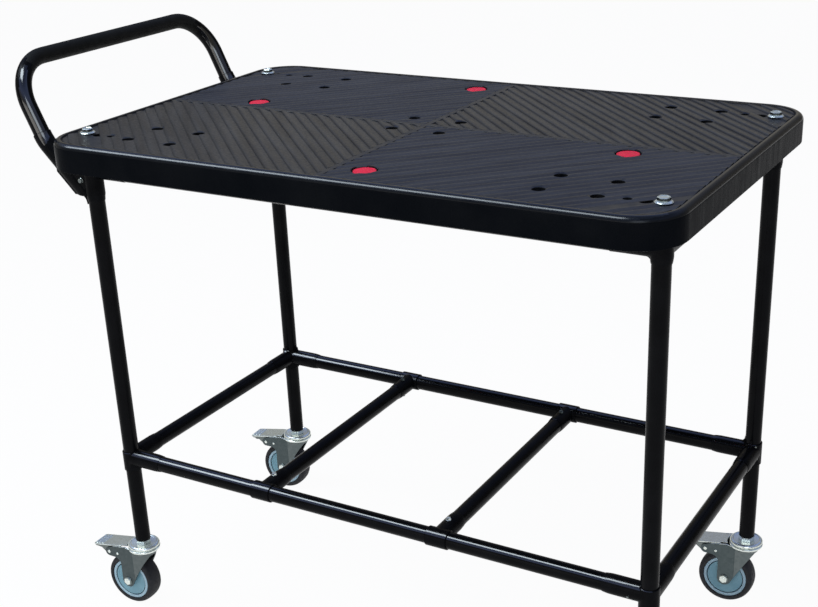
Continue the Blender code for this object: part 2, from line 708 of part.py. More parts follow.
def build_fork(corner, swivel):
    disc = rod_mesh("caster_fork_" + corner, (0, 0, FORK_UNDER), (0, 0, FORK_TOP), LOWER_RACE_RADIUS)
    fork = add_object("caster_fork_" + corner, disc, swivel, ZINC)
    middle = FORK_INNER + FORK_PLATE / 2
    for side, sign in (("near", -1), ("far", 1)):
        label = corner + "_plate_" + side
        plate = plate_mesh(label, fork_outline(), FORK_PLATE)
        join(fork, label, plate, (0, sign * middle, 0), (math.pi / 2, 0, 0))
    past = FORK_OUTER + OVERSHOOT
    pin = rod_mesh(
        corner + "_pin_hole",
        (0, 0, FORK_UNDER - OVERSHOOT),
        (0, 0, FORK_TOP + OVERSHOOT),
        KING_PIN_RADIUS + FIT_GAP,
    )
    cut(fork, corner + "_pin_hole", pin)
    for label, x, z, radius in (
        ("_axle_hole", TRAIL, AXLE_HEIGHT, AXLE_RADIUS),
        ("_pedal_hole", PIVOT_REACH, PIVOT_HEIGHT, PEDAL_PIN_RADIUS),
    ):
        hole = rod_mesh(corner + label, (x, -past, z), (x, past, z), radius + FIT_GAP, HOLE_SIDES)
        cut(fork, corner + label, hole)


def build_axle(corner, swivel):
    """Axle bolt with its head on one side and its nut on the other."""
    name = "caster_axle_" + corner
    end = FORK_OUTER + SEAT_GAP + AXLE_HEAD
    tip = end + AXLE_TIP
    shank = rod_mesh(name, (0, -tip, 0), (0, tip, 0), AXLE_RADIUS, HOLE_SIDES)
    axle = add_object(name, shank, swivel, ZINC, (TRAIL, 0, AXLE_HEIGHT))
    for label, sign in (("_head", -1), ("_nut", 1)):
        inner = sign * (FORK_OUTER + SEAT_GAP)
        join(axle, corner + label, hex_mesh(corner + label, (0, inner, 0), (0, sign * end, 0), AXLE_HEX))


def build_wheel(corner, swivel):
    """Tyre and hub, turned about the axle."""
    spot = (TRAIL, 0, AXLE_HEIGHT)
    axle_turn = (math.pi / 2, math.pi / WHEEL_STEPS, 0)
    wheel = add_empty("wheel_axis_" + corner, swivel, spot, axle_turn)
    half = TYRE_WIDTH / 2
    seat = HUB_RADIUS + SEAT_GAP
    side = (HUB_RADIUS + WHEEL_RADIUS) / 2
    tread = half - TYRE_SHOULDER
    tyre = [
        (side, half),
        (WHEEL_RADIUS - TYRE_CROWN, (half + tread) / 2),
        (WHEEL_RADIUS, tread),
        (WHEEL_RADIUS, -tread),
        (WHEEL_RADIUS - TYRE_CROWN, -(half + tread) / 2),
        (side, -half),
        (seat, -HUB_FACE),
        (seat, HUB_FACE),
    ]
    turned("caster_tyre_" + corner, tyre, WHEEL_STEPS, wheel, TYRE_BLACK, ring=True)
    boss = FORK_INNER - SEAT_GAP
    bore = AXLE_RADIUS + FIT_GAP
    hub = [
        (HUB_RADIUS, HUB_FACE),
        (HUB_RADIUS, -HUB_FACE),
        (HUB_BOSS_RADIUS, -HUB_FACE),
        (HUB_BOSS_RADIUS, -boss),
        (bore, -boss),
        (bore, boss),
        (HUB_BOSS_RADIUS, boss),
        (HUB_BOSS_RADIUS, HUB_FACE),
    ]
    turned("caster_hub_" + corner, hub, WHEEL_STEPS, wheel, HUB_GREY, ring=True)


def build_pedal(corner, swivel):
    """Brake pedal about its pin: the pin, two flanges and a tread plate that slopes to the tail."""
    name = "brake_pedal_" + corner
    end = FORK_OUTER + PEDAL_THICK / 2
    pin = rod_mesh(name, (0, -end, 0), (0, end, 0), PEDAL_PIN_RADIUS, HOLE_SIDES)
    pedal = add_object(name, pin, swivel, ZINC, (PIVOT_REACH, 0, PIVOT_HEIGHT))
    slope = (0, PEDAL_SLOPE, 0)
    for label, sign in (("_flange_near", -1), ("_flange_far", 1)):
        edges = sorted((sign * PEDAL_HALF, sign * (PEDAL_HALF - PEDAL_THICK)))
        low = (-FLANGE_LENGTH / 2, edges[0], -FLANGE_DROP)
        high = (FLANGE_LENGTH / 2, edges[1], PEDAL_LIFT + PEDAL_THICK / 2)
        join(pedal, corner + label, box_mesh(corner + label, low, high), turn=slope)
    low = (-PEDAL_FRONT, -PEDAL_HALF, PEDAL_LIFT)
    high = (PEDAL_TAIL, PEDAL_HALF, PEDAL_LIFT + PEDAL_THICK)
    join(pedal, corner + "_tread", box_mesh(corner + "_tread", low, high), turn=slope)


def build_casters(cart):
    for corner, (side_x, side_y) in CORNERS.items():
        heading = CASTER_HEADINGS[corner]
        swivel = add_empty("swivel_" + corner, cart, (side_x * LEG_X, side_y * LEG_Y, 0), (0, 0, heading))
        build_stem(corner, swivel)
        build_fork(corner, swivel)
        build_axle(corner, swivel)
        build_wheel(corner, swivel)
        build_pedal(corner, swivel)


def build_cart():
    cart = add_empty("workbench_cart", None, (FRAME_SHIFT, 0, 0))
    build_deck(cart)
    build_plugs(cart)
    build_frame(cart)
    build_casters(cart)


build_cart()
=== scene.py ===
import math

import bmesh
import bpy
from mathutils import Matrix, Vector


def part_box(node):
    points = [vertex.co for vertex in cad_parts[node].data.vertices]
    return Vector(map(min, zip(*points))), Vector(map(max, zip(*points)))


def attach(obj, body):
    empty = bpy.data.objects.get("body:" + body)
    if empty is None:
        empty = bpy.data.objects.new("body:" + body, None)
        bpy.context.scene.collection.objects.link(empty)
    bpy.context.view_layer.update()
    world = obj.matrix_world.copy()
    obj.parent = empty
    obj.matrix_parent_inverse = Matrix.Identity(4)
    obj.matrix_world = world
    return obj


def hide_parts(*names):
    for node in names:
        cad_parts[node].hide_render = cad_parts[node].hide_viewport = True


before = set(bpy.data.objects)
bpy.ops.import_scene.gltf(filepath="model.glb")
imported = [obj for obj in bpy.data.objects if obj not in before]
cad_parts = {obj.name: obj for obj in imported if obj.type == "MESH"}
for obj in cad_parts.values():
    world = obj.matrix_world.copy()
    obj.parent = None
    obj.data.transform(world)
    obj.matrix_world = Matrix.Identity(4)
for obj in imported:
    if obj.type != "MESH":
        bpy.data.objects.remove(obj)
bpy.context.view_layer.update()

TAU = math.tau
CORNERS = {
    "front_left": (-1, -1),
    "front_right": (1, -1),
    "back_left": (-1, 1),
    "back_right": (1, 1),
}

# Sizes of the deck that no box of a node gives
DECK_LENGTH = 1.088
DECK_WIDTH = 0.682
DECK_TOP = 0.924
DECK_DROP = 0.0443
DECK_CORNER = 0.075
DECK_EDGE = 0.01
RIM_RISE = 0.002
RIM_WIDTH = 0.013
RIM_INSIDE = 0.0122
FIELD_START = 0.017
DECK_PLATE = 0.0065
DECK_WALL = 0.006
DECK_RIB = 0.004
POCKETS_LONG = 10
POCKETS_WIDE = 6
POCKET_CORNER = 0.003
POCKET_OVERRUN = 0.02
BOSS_RADIUS = 0.016
LEG_X = 0.504
LEG_Y = 0.256
LEGS = [(side_x * LEG_X, side_y * LEG_Y) for side_x, side_y in CORNERS.values()]
HOLE_RADIUS = 0.0095
SMALL_HOLE_RADIUS = 0.006
BOLT_HOLE_RADIUS = 0.0055
HOLE_EASE = 0.0006
GROUP_LONG = (0.412, 0.325)
GROUP_WIDE = (0.261, 0.187)
MIDDLE_HOLE = (0.044, 0.037)
NEAR_LEG = 0.025
OFF_LEG = 0.051
CUT_LOW = -0.06
CUT_HIGH = 0.006
PLUG_RADIUS = 0.0178

# Tread moulded on the deck, about its mean level
FIELD = -0.0008
TREAD_PITCH = 0.0173
TREAD_GAP = 0.0003
TREAD_RISE = 0.0019
TREAD_ROOT = 0.0003
TREAD_RIM_GAP = 0.0032
TREAD_BAND = 0.005
RIB_HALF = 0.8
HOLE_SLOPE = 0.004
PLUG_GAP = 0.021
BOLT_GAP = 0.015

# Pipes and joints
PIPE_RADIUS = 0.014
PIPE_BORE = 0.0125
SLEEVE_RADIUS = 0.0162
LONG_SOCKET_RADIUS = 0.0159
SLIM_SOCKET_RADIUS = 0.0147
END_SOCKET_RADIUS = 0.0156
JOINT_BORE = 0.0144
SOCKET_REACH = 0.072
BORE_REACH = 0.09
TEE_HALF = 0.0195
TEE_REACH = 0.064
PIPE_STOP = 0.0164
WEB_INNER = 0.0148
WEB_REACH = 0.034
WEB_THICK = 0.0052
CLAMP_HEX = 0.007
HANDLE_LEAN = math.radians(25)
HANDLE_BEND = 0.078
BARE_BEND = 0.42
STRUT = ((0.0, 0.8022), (0.0998, 0.902), (0.1058, 0.915))
ARM_LOW = 0.885
ARM_OUT = 0.085

# Casters
AXLE_HEIGHT = 0.051673
TRAIL = 0.032
FORK_TOP = 0.128373
FORK_CREASE = 0.014
FORK_FOOT = 0.0579
FORK_OUT = 0.022
FORK_SHEET = 0.0025
FORK_MIDDLE = 0.02075
FORK_NOSE = 0.0366
FORK_EYE = 0.013
RACE_UNDER = 0.128673
RACE_BAND = 0.024
CROWN_BAND = 0.0272
HEX_TOP = 0.142673
PIN = (0.07, 0.107673)
PEDAL_SLOPE = math.radians(9.5)
PEDAL_HALF = 0.0192
PEDAL_SIDE = 0.01795
PEDAL_SHEET = 0.0025
RACE_CLEAR = 0.0314
HUB_FACE = 0.0331
HUB_GROOVE_END = 0.0345

# A noise mostly lies between these
NOISE_LOW = 0.3
NOISE_HIGH = 0.7


# Node materials

def feed(tree, target, sources):
    for name, source in sources.items():
        tree.links.new(source, target.inputs[name])


def node(tree, kind, links=None, **values):
    made = tree.nodes.new("ShaderNode" + kind)
    for name, value in values.items():
        made.inputs[name.replace("_", " ")].default_value = value
    feed(tree, made, links or {})
    return made


def blend_colours(tree, source, stops):
    """Colour ramp through (position, (r, g, b)) stops."""
    ramp = node(tree, "ValToRGB", {"Fac": source})
    places = ramp.color_ramp.elements
    places[0].position, places[0].color = stops[0][0], (*stops[0][1], 1)
    places[1].position, places[1].color = stops[-1][0], (*stops[-1][1], 1)
    for position, colour in stops[1:-1]:
        places.new(position).color = (*colour, 1)
    return ramp.outputs["Color"]


def spread(tree, source, low, high):
    """Maps a noise value to a range."""
    ends = {"From_Min": NOISE_LOW, "From_Max": NOISE_HIGH, "To_Min": low, "To_Max": high}
    return node(tree, "MapRange", {"Value": source}, **ends).outputs["Result"]


def noise(tree, coords, scale, detail=4.0, stretch=None):
    if stretch is not None:
        coords = node(tree, "Mapping", {"Vector": coords}, Scale=stretch).outputs["Vector"]
    made = node(tree, "TexNoise", {"Vector": coords}, Scale=scale, Detail=detail, Roughness=0.55)
    return made.outputs["Fac"]


def bump(tree, height, distance, under=None):
    links = {"Height": height}
    if under is not None:
        links["Normal"] = under
    return node(tree, "Bump", links, Strength=1.0, Distance=distance).outputs["Normal"]


def start_material(name, metallic, specular):
    material = bpy.data.materials.new(name)
    material.use_nodes = True
    tree = material.node_tree
    shader = tree.nodes["Principled BSDF"]
    shader.inputs["Metallic"].default_value = metallic
    shader.inputs["Specular IOR Level"].default_value = specular
    coords = tree.nodes.new("ShaderNodeTexCoord").outputs["Object"]
    return material, tree, shader, coords


def moulded(name, tones, rough, patch, grain, depth, specular,
            ends=(NOISE_LOW, NOISE_HIGH), streaks=None, wave=None):
    """A finish with soft patches of tone, uneven gloss and a fine grain.

    Patch and grain are scales of noise. Streaks are the (scale, depth) of ripples along Z. A wave is the
    same along X turned about Z by its third value, and draws the tone out with it.
    """
    material, tree, shader, coords = start_material(name, 0.0, specular)
    drawn = coords
    if wave is not None:
        along = node(tree, "Mapping", {"Vector": coords}, Rotation=(0, 0, wave[2]), Scale=(9, 1, 1))
        along.vector_type = "TEXTURE"
        drawn = along.outputs["Vector"]
    colour = blend_colours(tree, noise(tree, drawn, patch), list(zip(ends, tones)))
    gloss = spread(tree, noise(tree, coords, patch * 3.1, 6.0), *rough)
    normal = bump(tree, noise(tree, coords, grain, 3.0), depth)
    if wave is not None:
        normal = bump(tree, noise(tree, drawn, wave[0], 3.0), wave[1], normal)
    if streaks is not None:
        lines = noise(tree, coords, streaks[0], 3.0, stretch=(1, 1, 0.02))
        normal = bump(tree, lines, streaks[1], normal)
    feed(tree, shader, {"Base Color": colour, "Roughness": gloss, "Normal": normal})
    return material


def plated(name, tones, rough, spangle, brush, metallic=1.0):
    """Zinc plate: cells of slightly different tone, fine brushing and dull patches."""
    material, tree, shader, coords = start_material(name, metallic, 0.5)
    spots = node(tree, "TexVoronoi", {"Vector": coords}, Scale=spangle).outputs["Color"]
    cells = node(tree, "SeparateColor", {"Color": spots}).outputs["Red"]
    colour = blend_colours(tree, cells, list(zip((0.0, 0.5, 1.0), tones)))
    gloss = spread(tree, noise(tree, coords, 220.0, 5.0), *rough)
    lines = noise(tree, coords, brush, 3.0, stretch=(1, 1, 0.15))
    normal = bump(tree, lines, 0.00006)
    feed(tree, shader, {"Base Color": colour, "Roughness": gloss, "Normal": normal})
    return material


DECK = moulded(
    "deck_field", ((0.01, 0.0105, 0.0125), (0.016, 0.016, 0.0175)),
    (0.34, 0.5), 16.0, 1500.0, 0.0001, 0.5,
)
TREADS = {
    slant: moulded(
        name, ((0.003, 0.0035, 0.005), (0.022, 0.0225, 0.025)),
        (0.3, 0.44), 60.0, 1700.0, 0.00008, 0.5, (0.36, 0.64), wave=(70.0, 0.0006, slant * TAU / 8),
    )
    for slant, name in ((1, "deck_tread_rising"), (-1, "deck_tread_falling"))
}
# The skirt and the underside take a darker copy of the deck's plastic with almost no gloss: painted shade.
SKIRT = moulded(
    "deck_skirt_painted_shade", ((0.003, 0.0036, 0.0046), (0.0055, 0.006, 0.0068)),
    (0.22, 0.34), 14.0, 1300.0, 0.00006, 0.006, streaks=(55.0, 0.0006),
)
# Glossy copies of the deck's plastic for the rim. Full gloss on the faces toward the strip lamp is a
# painted highlight. The softer copy beside it is a painted sheen.
RIM_TONES = (0.0045, 0.0052, 0.0064), (0.008, 0.0088, 0.01)
RIM = moulded("deck_rim_painted_sheen", RIM_TONES, (0.17, 0.24), 18.0, 1300.0, 0.00003, 0.5)
RIM_SOFT_SHEEN = moulded("deck_rim_painted_soft_sheen", RIM_TONES, (0.2, 0.28), 18.0, 1300.0, 0.00003, 0.15)
# Near black for the walls of the holes below the field: painted shade in the recesses.
BORE = moulded(
    "deck_bore_painted_shade", ((0.0015, 0.0015, 0.0018), (0.003, 0.003, 0.0034)),
    (0.6, 0.8), 60.0, 1300.0, 0.0001, 0.1,
)
PLUG = moulded(
    "plug_red", ((0.8, 0.016, 0.05), (0.88, 0.024, 0.066)),
    (0.38, 0.54), 60.0, 1800.0, 0.00008, 0.15,
)
# The pipes' black paint comes in two copies. A glossy one goes on the faces turned toward a lamp, as a
# painted highlight. A dull one goes on the rest, as painted shade that keeps them from reflecting the
# bright floor.
PIPE_TONES = (0.0022, 0.0022, 0.0026), (0.0046, 0.0046, 0.005)
PIPE = moulded("pipe_painted_shade", PIPE_TONES, (0.18, 0.3), 24.0, 900.0, 0.00004, 0.05)
PIPE_SHEEN = moulded("pipe_painted_sheen", PIPE_TONES, (0.11, 0.17), 24.0, 900.0, 0.00003, 1.0)
GRIP = moulded(
    "grip_matt", ((0.005, 0.005, 0.0042), (0.009, 0.0088, 0.0076)),
    (0.55, 0.7), 34.0, 1500.0, 0.0001, 0.12,
)
# The joints' black paint comes in two copies. A glossy one goes on the faces turned toward a lamp, as a
# painted highlight. A dull one goes on the rest, as painted shade.
JOINT_TONES = (0.0026, 0.0026, 0.003), (0.006, 0.006, 0.0064)
JOINT = moulded("joint_painted_shade", JOINT_TONES, (0.22, 0.36), 40.0, 1100.0, 0.00008, 0.03)
JOINT_SHEEN = moulded("joint_painted_sheen", JOINT_TONES, (0.12, 0.2), 40.0, 1100.0, 0.00005, 1.0)
TYRE = moulded(
    "tyre_rubber", ((0.012, 0.012, 0.013), (0.022, 0.022, 0.024)),
    (0.55, 0.78), 70.0, 1600.0, 0.00014, 0.3,
)
HUB = moulded(
    "hub_grey", ((0.168, 0.328, 0.372), (0.208, 0.374, 0.416)),
    (0.36, 0.52), 55.0, 1900.0, 0.00006, 0.4,
)
HUB_RING = moulded(
    "hub_ring", ((0.34, 0.48, 0.52), (0.4, 0.54, 0.58)),
    (0.34, 0.48), 70.0, 1900.0, 0.00005, 0.4,
)
# Near black in the groove between the hub's face and its ring: painted shade.
HUB_GROOVE = moulded(
    "hub_groove_painted_shade", ((0.006, 0.008, 0.01), (0.012, 0.015, 0.018)),
    (0.6, 0.8), 90.0, 1900.0, 0.00005, 0.1,
)
# One zinc plating comes in lit and shaded copies. This bright copy is painted light for the faces that
# catch a lamp.
ZINC = plated(
    "zinc_painted_lit", ((0.75, 0.8, 0.735), (0.79, 0.84, 0.775), (0.83, 0.88, 0.815)),
    (0.16, 0.26), 300.0, 900.0, 0.75,
)
# Dark copy of the same zinc: painted shade on sides, washers, flanges and pins.
ZINC_SHADE = plated(
    "zinc_painted_shade", ((0.146, 0.166, 0.164), (0.156, 0.178, 0.176), (0.168, 0.19, 0.188)),
    (0.24, 0.36), 300.0, 900.0,
)
# Darker still for the fork plates: painted shade.
FORK_ZINC = plated(
    "fork_zinc_painted_shade", ((0.072, 0.092, 0.096), (0.079, 0.1, 0.104), (0.087, 0.108, 0.112)),
    (0.36, 0.5), 200.0, 700.0,
)
# A lighter painted shade for the fork's crown and front sheet.
FORK_FRONT = plated(
    "fork_front_painted_lighter_shade", ((0.118, 0.14, 0.142), (0.128, 0.15, 0.152), (0.14, 0.162, 0.164)),
    (0.34, 0.46), 200.0, 700.0,
)


# Shells: each is a list of points and a list of faces

def welded(points, faces):
    """Merges points that coincide and drops faces that collapse."""
    keep = []
    index = {}
    new = []
    for point in points:
        key = tuple(round(c, 7) for c in point)
        if key not in index:
            index[key] = len(keep)
            keep.append(Vector(point))
        new.append(index[key])
    rings = [tuple(dict.fromkeys(new[i] for i in face)) for face in faces]
    return keep, [ring for ring in rings if len(ring) > 2]


def grid_faces(rows, count, ring):
    """Faces between closed rows of points; a ring also joins the last row to the first."""
    faces = []
    for row in range(rows if ring else rows - 1):
        after = (row + 1) % rows
        for i in range(count):
            j = (i + 1) % count
            faces.append((row * count + i, row * count + j, after * count + j, after * count + i))
    return faces


def turned(profile, steps=40, ring=False):
    """Spins (radius, height) points about Z; a ring closes on itself, others start and end on the axis."""
    points = []
    for radius, height in profile:
        for i in range(steps):
            angle = TAU * i / steps
            points.append((radius * math.cos(angle), radius * math.sin(angle), height))
    return welded(points, grid_faces(len(profile), steps, ring))


def tube(path, outer, inner=0.0, sides=36, lip=0.0005):
    """A pipe, or a solid bar where inner is nought, along a path, with eased ends."""
    path = [Vector(point) for point in path]
    last = len(path) - 1
    runs = []
    for k in range(last + 1):
        runs.append((path[min(k + 1, last)] - path[max(k - 1, 0)]).normalized())
    side = runs[0].orthogonal().normalized()
    sides_at = []
    for run in runs:
        side = (side - run * side.dot(run)).normalized()
        sides_at.append(side)

    def row(k, radius, along=0.0):
        up = runs[k].cross(sides_at[k])
        centre = path[k] + runs[k] * along
        turn = [TAU * i / sides for i in range(sides)]
        return [centre + (sides_at[k] * math.cos(a) + up * math.sin(a)) * radius for a in turn]

    rows = [row(0, inner), row(0, outer - lip), row(0, outer, lip)]
    rows += [row(k, outer) for k in range(1, last)]
    rows += [row(last, outer, -lip), row(last, outer - lip), row(last, inner)]
    if inner > 0:
        rows += [row(k, inner) for k in range(last - 1, 0, -1)]
    points = [point for line in rows for point in line]
    return welded(points, grid_faces(len(rows), sides, inner > 0))


def plate(outline, low, high, edge=0.0004, steps=2):
    """A flat plate between two heights with its edges eased."""
    form = bmesh.new()
    base = form.faces.new([form.verts.new((x, y, low)) for x, y in outline])
    grown = bmesh.ops.extrude_face_region(form, geom=[base])
    top = [v for v in grown["geom"] if isinstance(v, bmesh.types.BMVert)]
    bmesh.ops.translate(form, verts=top, vec=(0, 0, high - low))
    bmesh.ops.recalc_face_normals(form, faces=form.faces)
    if edge > 0:
        rims = [e for e in form.edges if abs(e.verts[0].co.z - e.verts[1].co.z) < 1e-7]
        bmesh.ops.bevel(form, geom=rims, offset=edge, segments=steps, profile=0.5, affect="EDGES")
    form.verts.index_update()
    points = [v.co.copy() for v in form.verts]
    faces = [tuple(v.index for v in f.verts) for f in form.faces]
    form.free()
    return points, faces


def drum(radius, low, high, steps):
    return turned([(0, low), (radius, low), (radius, high), (0, high)], steps)


def hexagon(across, low, high, ease):
    """A hexagonal bar with its ends eased."""
    radius = across / math.sqrt(3)
    rows = [(0, low), (radius - ease, low), (radius, low + ease * 0.6)]
    rows += [(radius, high - ease * 0.6), (radius - ease, high), (0, high)]
    return turned(rows, 6)


def arc(centre, radius, start, end, steps):
    points = []
    for i in range(steps + 1):
        angle = start + (end - start) * i / steps
        points.append((centre[0] + radius * math.cos(angle), centre[1] + radius * math.sin(angle)))
    return points


def curve(start, knee, end, steps):
    """Points of a soft bend between two ends."""
    shares = [k / steps for k in range(steps + 1)]
    return [start * (1 - t) ** 2 + knee * 2 * t * (1 - t) + end * t * t for t in shares]


def rounded(corners, steps=5):
    """A closed outline from (x, y, radius) corners."""
    points = []
    for i, (x, y, radius) in enumerate(corners):
        here = Vector((x, y))
        if radius <= 0:
            points.append((x, y))
            continue
        before = Vector(corners[i - 1][:2]) - here
        after = Vector(corners[(i + 1) % len(corners)][:2]) - here
        reach = radius / math.tan(before.angle(after) / 2)
        reach = min(reach, 0.48 * before.length, 0.48 * after.length)
        start = here + before.normalized() * reach
        end = here + after.normalized() * reach
        points += [tuple(spot) for spot in curve(start, here, end, steps)]
    return points


def dome(radius, rise, foot=0.0):
    """Button head on Z, with a foot below."""
    profile = [(0, -foot), (radius, -foot)]
    profile += [(radius * math.cos(a * TAU / 24), rise * math.sin(a * TAU / 24)) for a in range(6)]
    return turned(profile + [(0, rise)], 20)


def moved_shell(shell, place):
    return [place @ p for p in shell[0]], shell[1]


# Places

def at(x, y, z=0):
    return Matrix.Translation((x, y, z))


def aimed(direction, spot=(0, 0, 0)):
    """Turns a form's Z along a direction, at a spot."""
    return Matrix.Translation(spot) @ Vector(direction).to_track_quat("Z", "Y").to_matrix().to_4x4()


def sideways(sign, spot=(0, 0, 0)):
    """Lays a form's Z along Y, to one side, at a spot."""
    return Matrix.Translation(spot) @ Matrix.Rotation(-sign * TAU / 4, 4, "X")


def axes_place(spot, *axes):
    """Lays local X, Y and Z along three directions."""
    return Matrix.Translation(spot) @ Matrix(axes).transposed().to_4x4()


def plane_place(centre, first, second):
    """Lays local X and Y along two directions."""
    first, second = Vector(first), Vector(second)
    return axes_place(centre, first, second, first.cross(second))


# Pieces

class Shape:
    """Closed shells gathered into one mesh, each with the mark of its finish."""

    def __init__(self):
        self.points = []
        self.faces = []
        self.marks = []

    def add(self, shell, place=None, mark=0):
        base = len(self.points)
        points, faces = shell
        self.points += [place @ Vector(p) if place is not None else Vector(p) for p in points]
        self.faces += [tuple(base + i for i in face) for face in faces]
        self.marks += [mark] * len(faces)
        return self

    def mesh(self, name):
        mesh = bpy.data.meshes.new(name)
        mesh.from_pydata(self.points, [], self.faces)
        form = bmesh.new()
        form.from_mesh(mesh)
        bmesh.ops.recalc_face_normals(form, faces=form.faces)
        form.to_mesh(mesh)
        form.free()
        return mesh

    def moved(self, place):
        copy = Shape()
        copy.points = [place @ p for p in self.points]
        copy.faces = list(self.faces)
        copy.marks = list(self.marks)
        return copy


def add_object(name, data):
    item = bpy.data.objects.new(name, data)
    bpy.context.scene.collection.objects.link(item)
    return item


def carve(target, cutter, operation="DIFFERENCE"):
    """Cuts or joins a mesh object with another, which is then removed."""
    change = target.modifiers.new("carve", "BOOLEAN")
    change.operation = operation
    change.solver = "EXACT"
    change.object = cutter
    bpy.context.view_layer.update()
    done = target.evaluated_get(bpy.context.evaluated_depsgraph_get())
    mesh = bpy.data.meshes.new_from_object(done)
    target.modifiers.clear()
    target.data = mesh
    bpy.data.objects.remove(cutter, do_unlink=True)


def carve_shape(target, shape, operation="DIFFERENCE"):
    carve(target, add_object("cutter", shape.mesh("cutter")), operation)


def present(item, body, materials, stands_for="", sharp=35.0):
    """Gives a mesh object its finish and ties it to the part."""
    mesh = item.data
    mesh.materials.clear()
    for material in materials:
        mesh.materials.append(material)
    mesh.shade_smooth()
    mesh.set_sharp_from_angle(angle=math.radians(sharp))
    normals = item.modifiers.new("normals", "WEIGHTED_NORMAL")
    normals.keep_sharp = True
    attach(item, body)
    if stands_for:
        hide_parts(stands_for)
    return item


def add_piece(name, shape, body, materials, stands_for="", sharp=35.0):
    item = present(add_object(name, shape.mesh(name)), body, materials, stands_for, sharp)
    item.data.polygons.foreach_set("material_index", shape.marks)
    return item


def shine(item, toward=(0, 0, 1), level=0.3, mark=1):
    """Gives another finish to the faces that look a given way: the lit copy of a material, a painted
    highlight on the faces turned toward a lamp.
    """
    toward = Vector(toward).normalized()
    for face in item.data.polygons:
        if face.normal.dot(toward) > level:
            face.material_index = mark
    return item


def middle(name):
    low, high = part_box(name)
    return (low + high) / 2


DECK_LOW, DECK_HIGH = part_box("deck_panel")
SHIFT = (DECK_LOW.x + DECK_HIGH.x) / 2
DECK_ORIGIN = Vector((SHIFT, 0, DECK_TOP))
ON_DECK = Matrix.Translation(DECK_ORIGIN)
SIDES = ("left", "right", "front", "back")
PLUGS = {side: middle("red_plug_" + side) - Vector((SHIFT, 0, 0)) for side in SIDES}


# Deck

def deck_loop(inset, height, steps=14):
    """Points round the deck at an inset from its side."""
    radius = max(DECK_CORNER - inset, 0.004)
    reach_x = DECK_LENGTH / 2 - inset - radius
    reach_y = DECK_WIDTH / 2 - inset - radius
    points = []
    for k, (side_x, side_y) in enumerate(((1, 1), (-1, 1), (-1, -1), (1, -1))):
        centre = (side_x * reach_x, side_y * reach_y)
        bend = arc(centre, radius, k * TAU / 4, (k + 1) * TAU / 4, steps)
        points += [(x, y, height) for x, y in bend]
    return points


def stacked(loops):
    """Shell through closed loops of points of equal count, with a cap at each end."""
    count = len(loops[0])
    points = [point for loop in loops for point in loop]
    faces = grid_faces(len(loops), count, False)
    faces.append(tuple(range(count)))
    faces.append(tuple(range(len(points) - count, len(points))))
    return points, faces


def deck_solid():
    bullnose = [(DECK_EDGE - DECK_EDGE * math.cos(a), RIM_RISE - DECK_EDGE + DECK_EDGE * math.sin(a))
                for a in (TAU / 4 * i / 12 for i in range(13))]
    profile = [(0.003, -DECK_DROP), (0.0012, -DECK_DROP), (0.0004, -DECK_DROP + 0.0004)]
    profile += [(0.0, -DECK_DROP + 0.0012)] + bullnose
    profile += [(0.0119, RIM_RISE), (0.0127, 0.0017), (RIM_WIDTH, 0.001), (0.0133, -0.0016)]
    profile += [(0.0139, -0.0021), (0.0149, -0.002), (0.0155, -0.0012), (0.0163, FIELD)]
    return Shape().add(stacked([deck_loop(inset, height) for inset, height in profile]))


def inset_at(x, y):
    """How far a point lies inside the deck's side, with its rounded corners."""
    over_x = abs(x) - (DECK_LENGTH / 2 - DECK_CORNER)
    over_y = abs(y) - (DECK_WIDTH / 2 - DECK_CORNER)
    if over_x > 0 and over_y > 0:
        return DECK_CORNER - math.hypot(over_x, over_y)
    return DECK_CORNER - max(over_x, over_y)


def deck_holes():
    """Places and radii of the moulded holes, in the deck's own frame."""
    quarter = [(x, y, HOLE_RADIUS) for x in GROUP_LONG for y in GROUP_WIDE]
    quarter.append((*MIDDLE_HOLE, HOLE_RADIUS))
    quarter.append((LEG_X - NEAR_LEG, LEG_Y, HOLE_RADIUS))
    quarter.append((LEG_X - OFF_LEG, LEG_Y, SMALL_HOLE_RADIUS))
    holes = []
    for side_x, side_y in CORNERS.values():
        holes += [(side_x * x, side_y * y, radius) for x, y, radius in quarter]
    return holes


def pocket_span(index, count, length):
    """Ends of one pocket of a row; the outer pockets run out past the wall."""
    cell = (length - 2 * DECK_WALL + DECK_RIB) / count
    low = (index - count / 2) * cell + DECK_RIB / 2 - POCKET_OVERRUN * (index == 0)
    high = (index + 1 - count / 2) * cell - DECK_RIB / 2 + POCKET_OVERRUN * (index == count - 1)
    return low, high


def deck_pockets():
    """Cutter for the pockets underneath, kept inside the wall and off the bolt bosses."""
    pockets = Shape()
    for i in range(POCKETS_LONG):
        for j in range(POCKETS_WIDE):
            low_x, high_x = pocket_span(i, POCKETS_LONG, DECK_LENGTH)
            low_y, high_y = pocket_span(j, POCKETS_WIDE, DECK_WIDTH)
            sides = ((low_x, low_y), (high_x, low_y), (high_x, high_y), (low_x, high_y))
            outline = rounded([(x, y, POCKET_CORNER) for x, y in sides], 3)
            pockets.add(plate(outline, -DECK_DROP - 0.02, -DECK_PLATE, 0.0015))
    tool = add_object("pockets", pockets.mesh("pockets"))
    inside = stacked([deck_loop(DECK_WALL, -DECK_DROP - 0.03), deck_loop(DECK_WALL, 0.0)])
    carve_shape(tool, Shape().add(inside), "INTERSECT")
    bosses = Shape()
    for x, y in LEGS:
        bosses.add(drum(BOSS_RADIUS, -0.09, 0.01, 28), at(x, y))
    carve_shape(tool, bosses)
    return tool


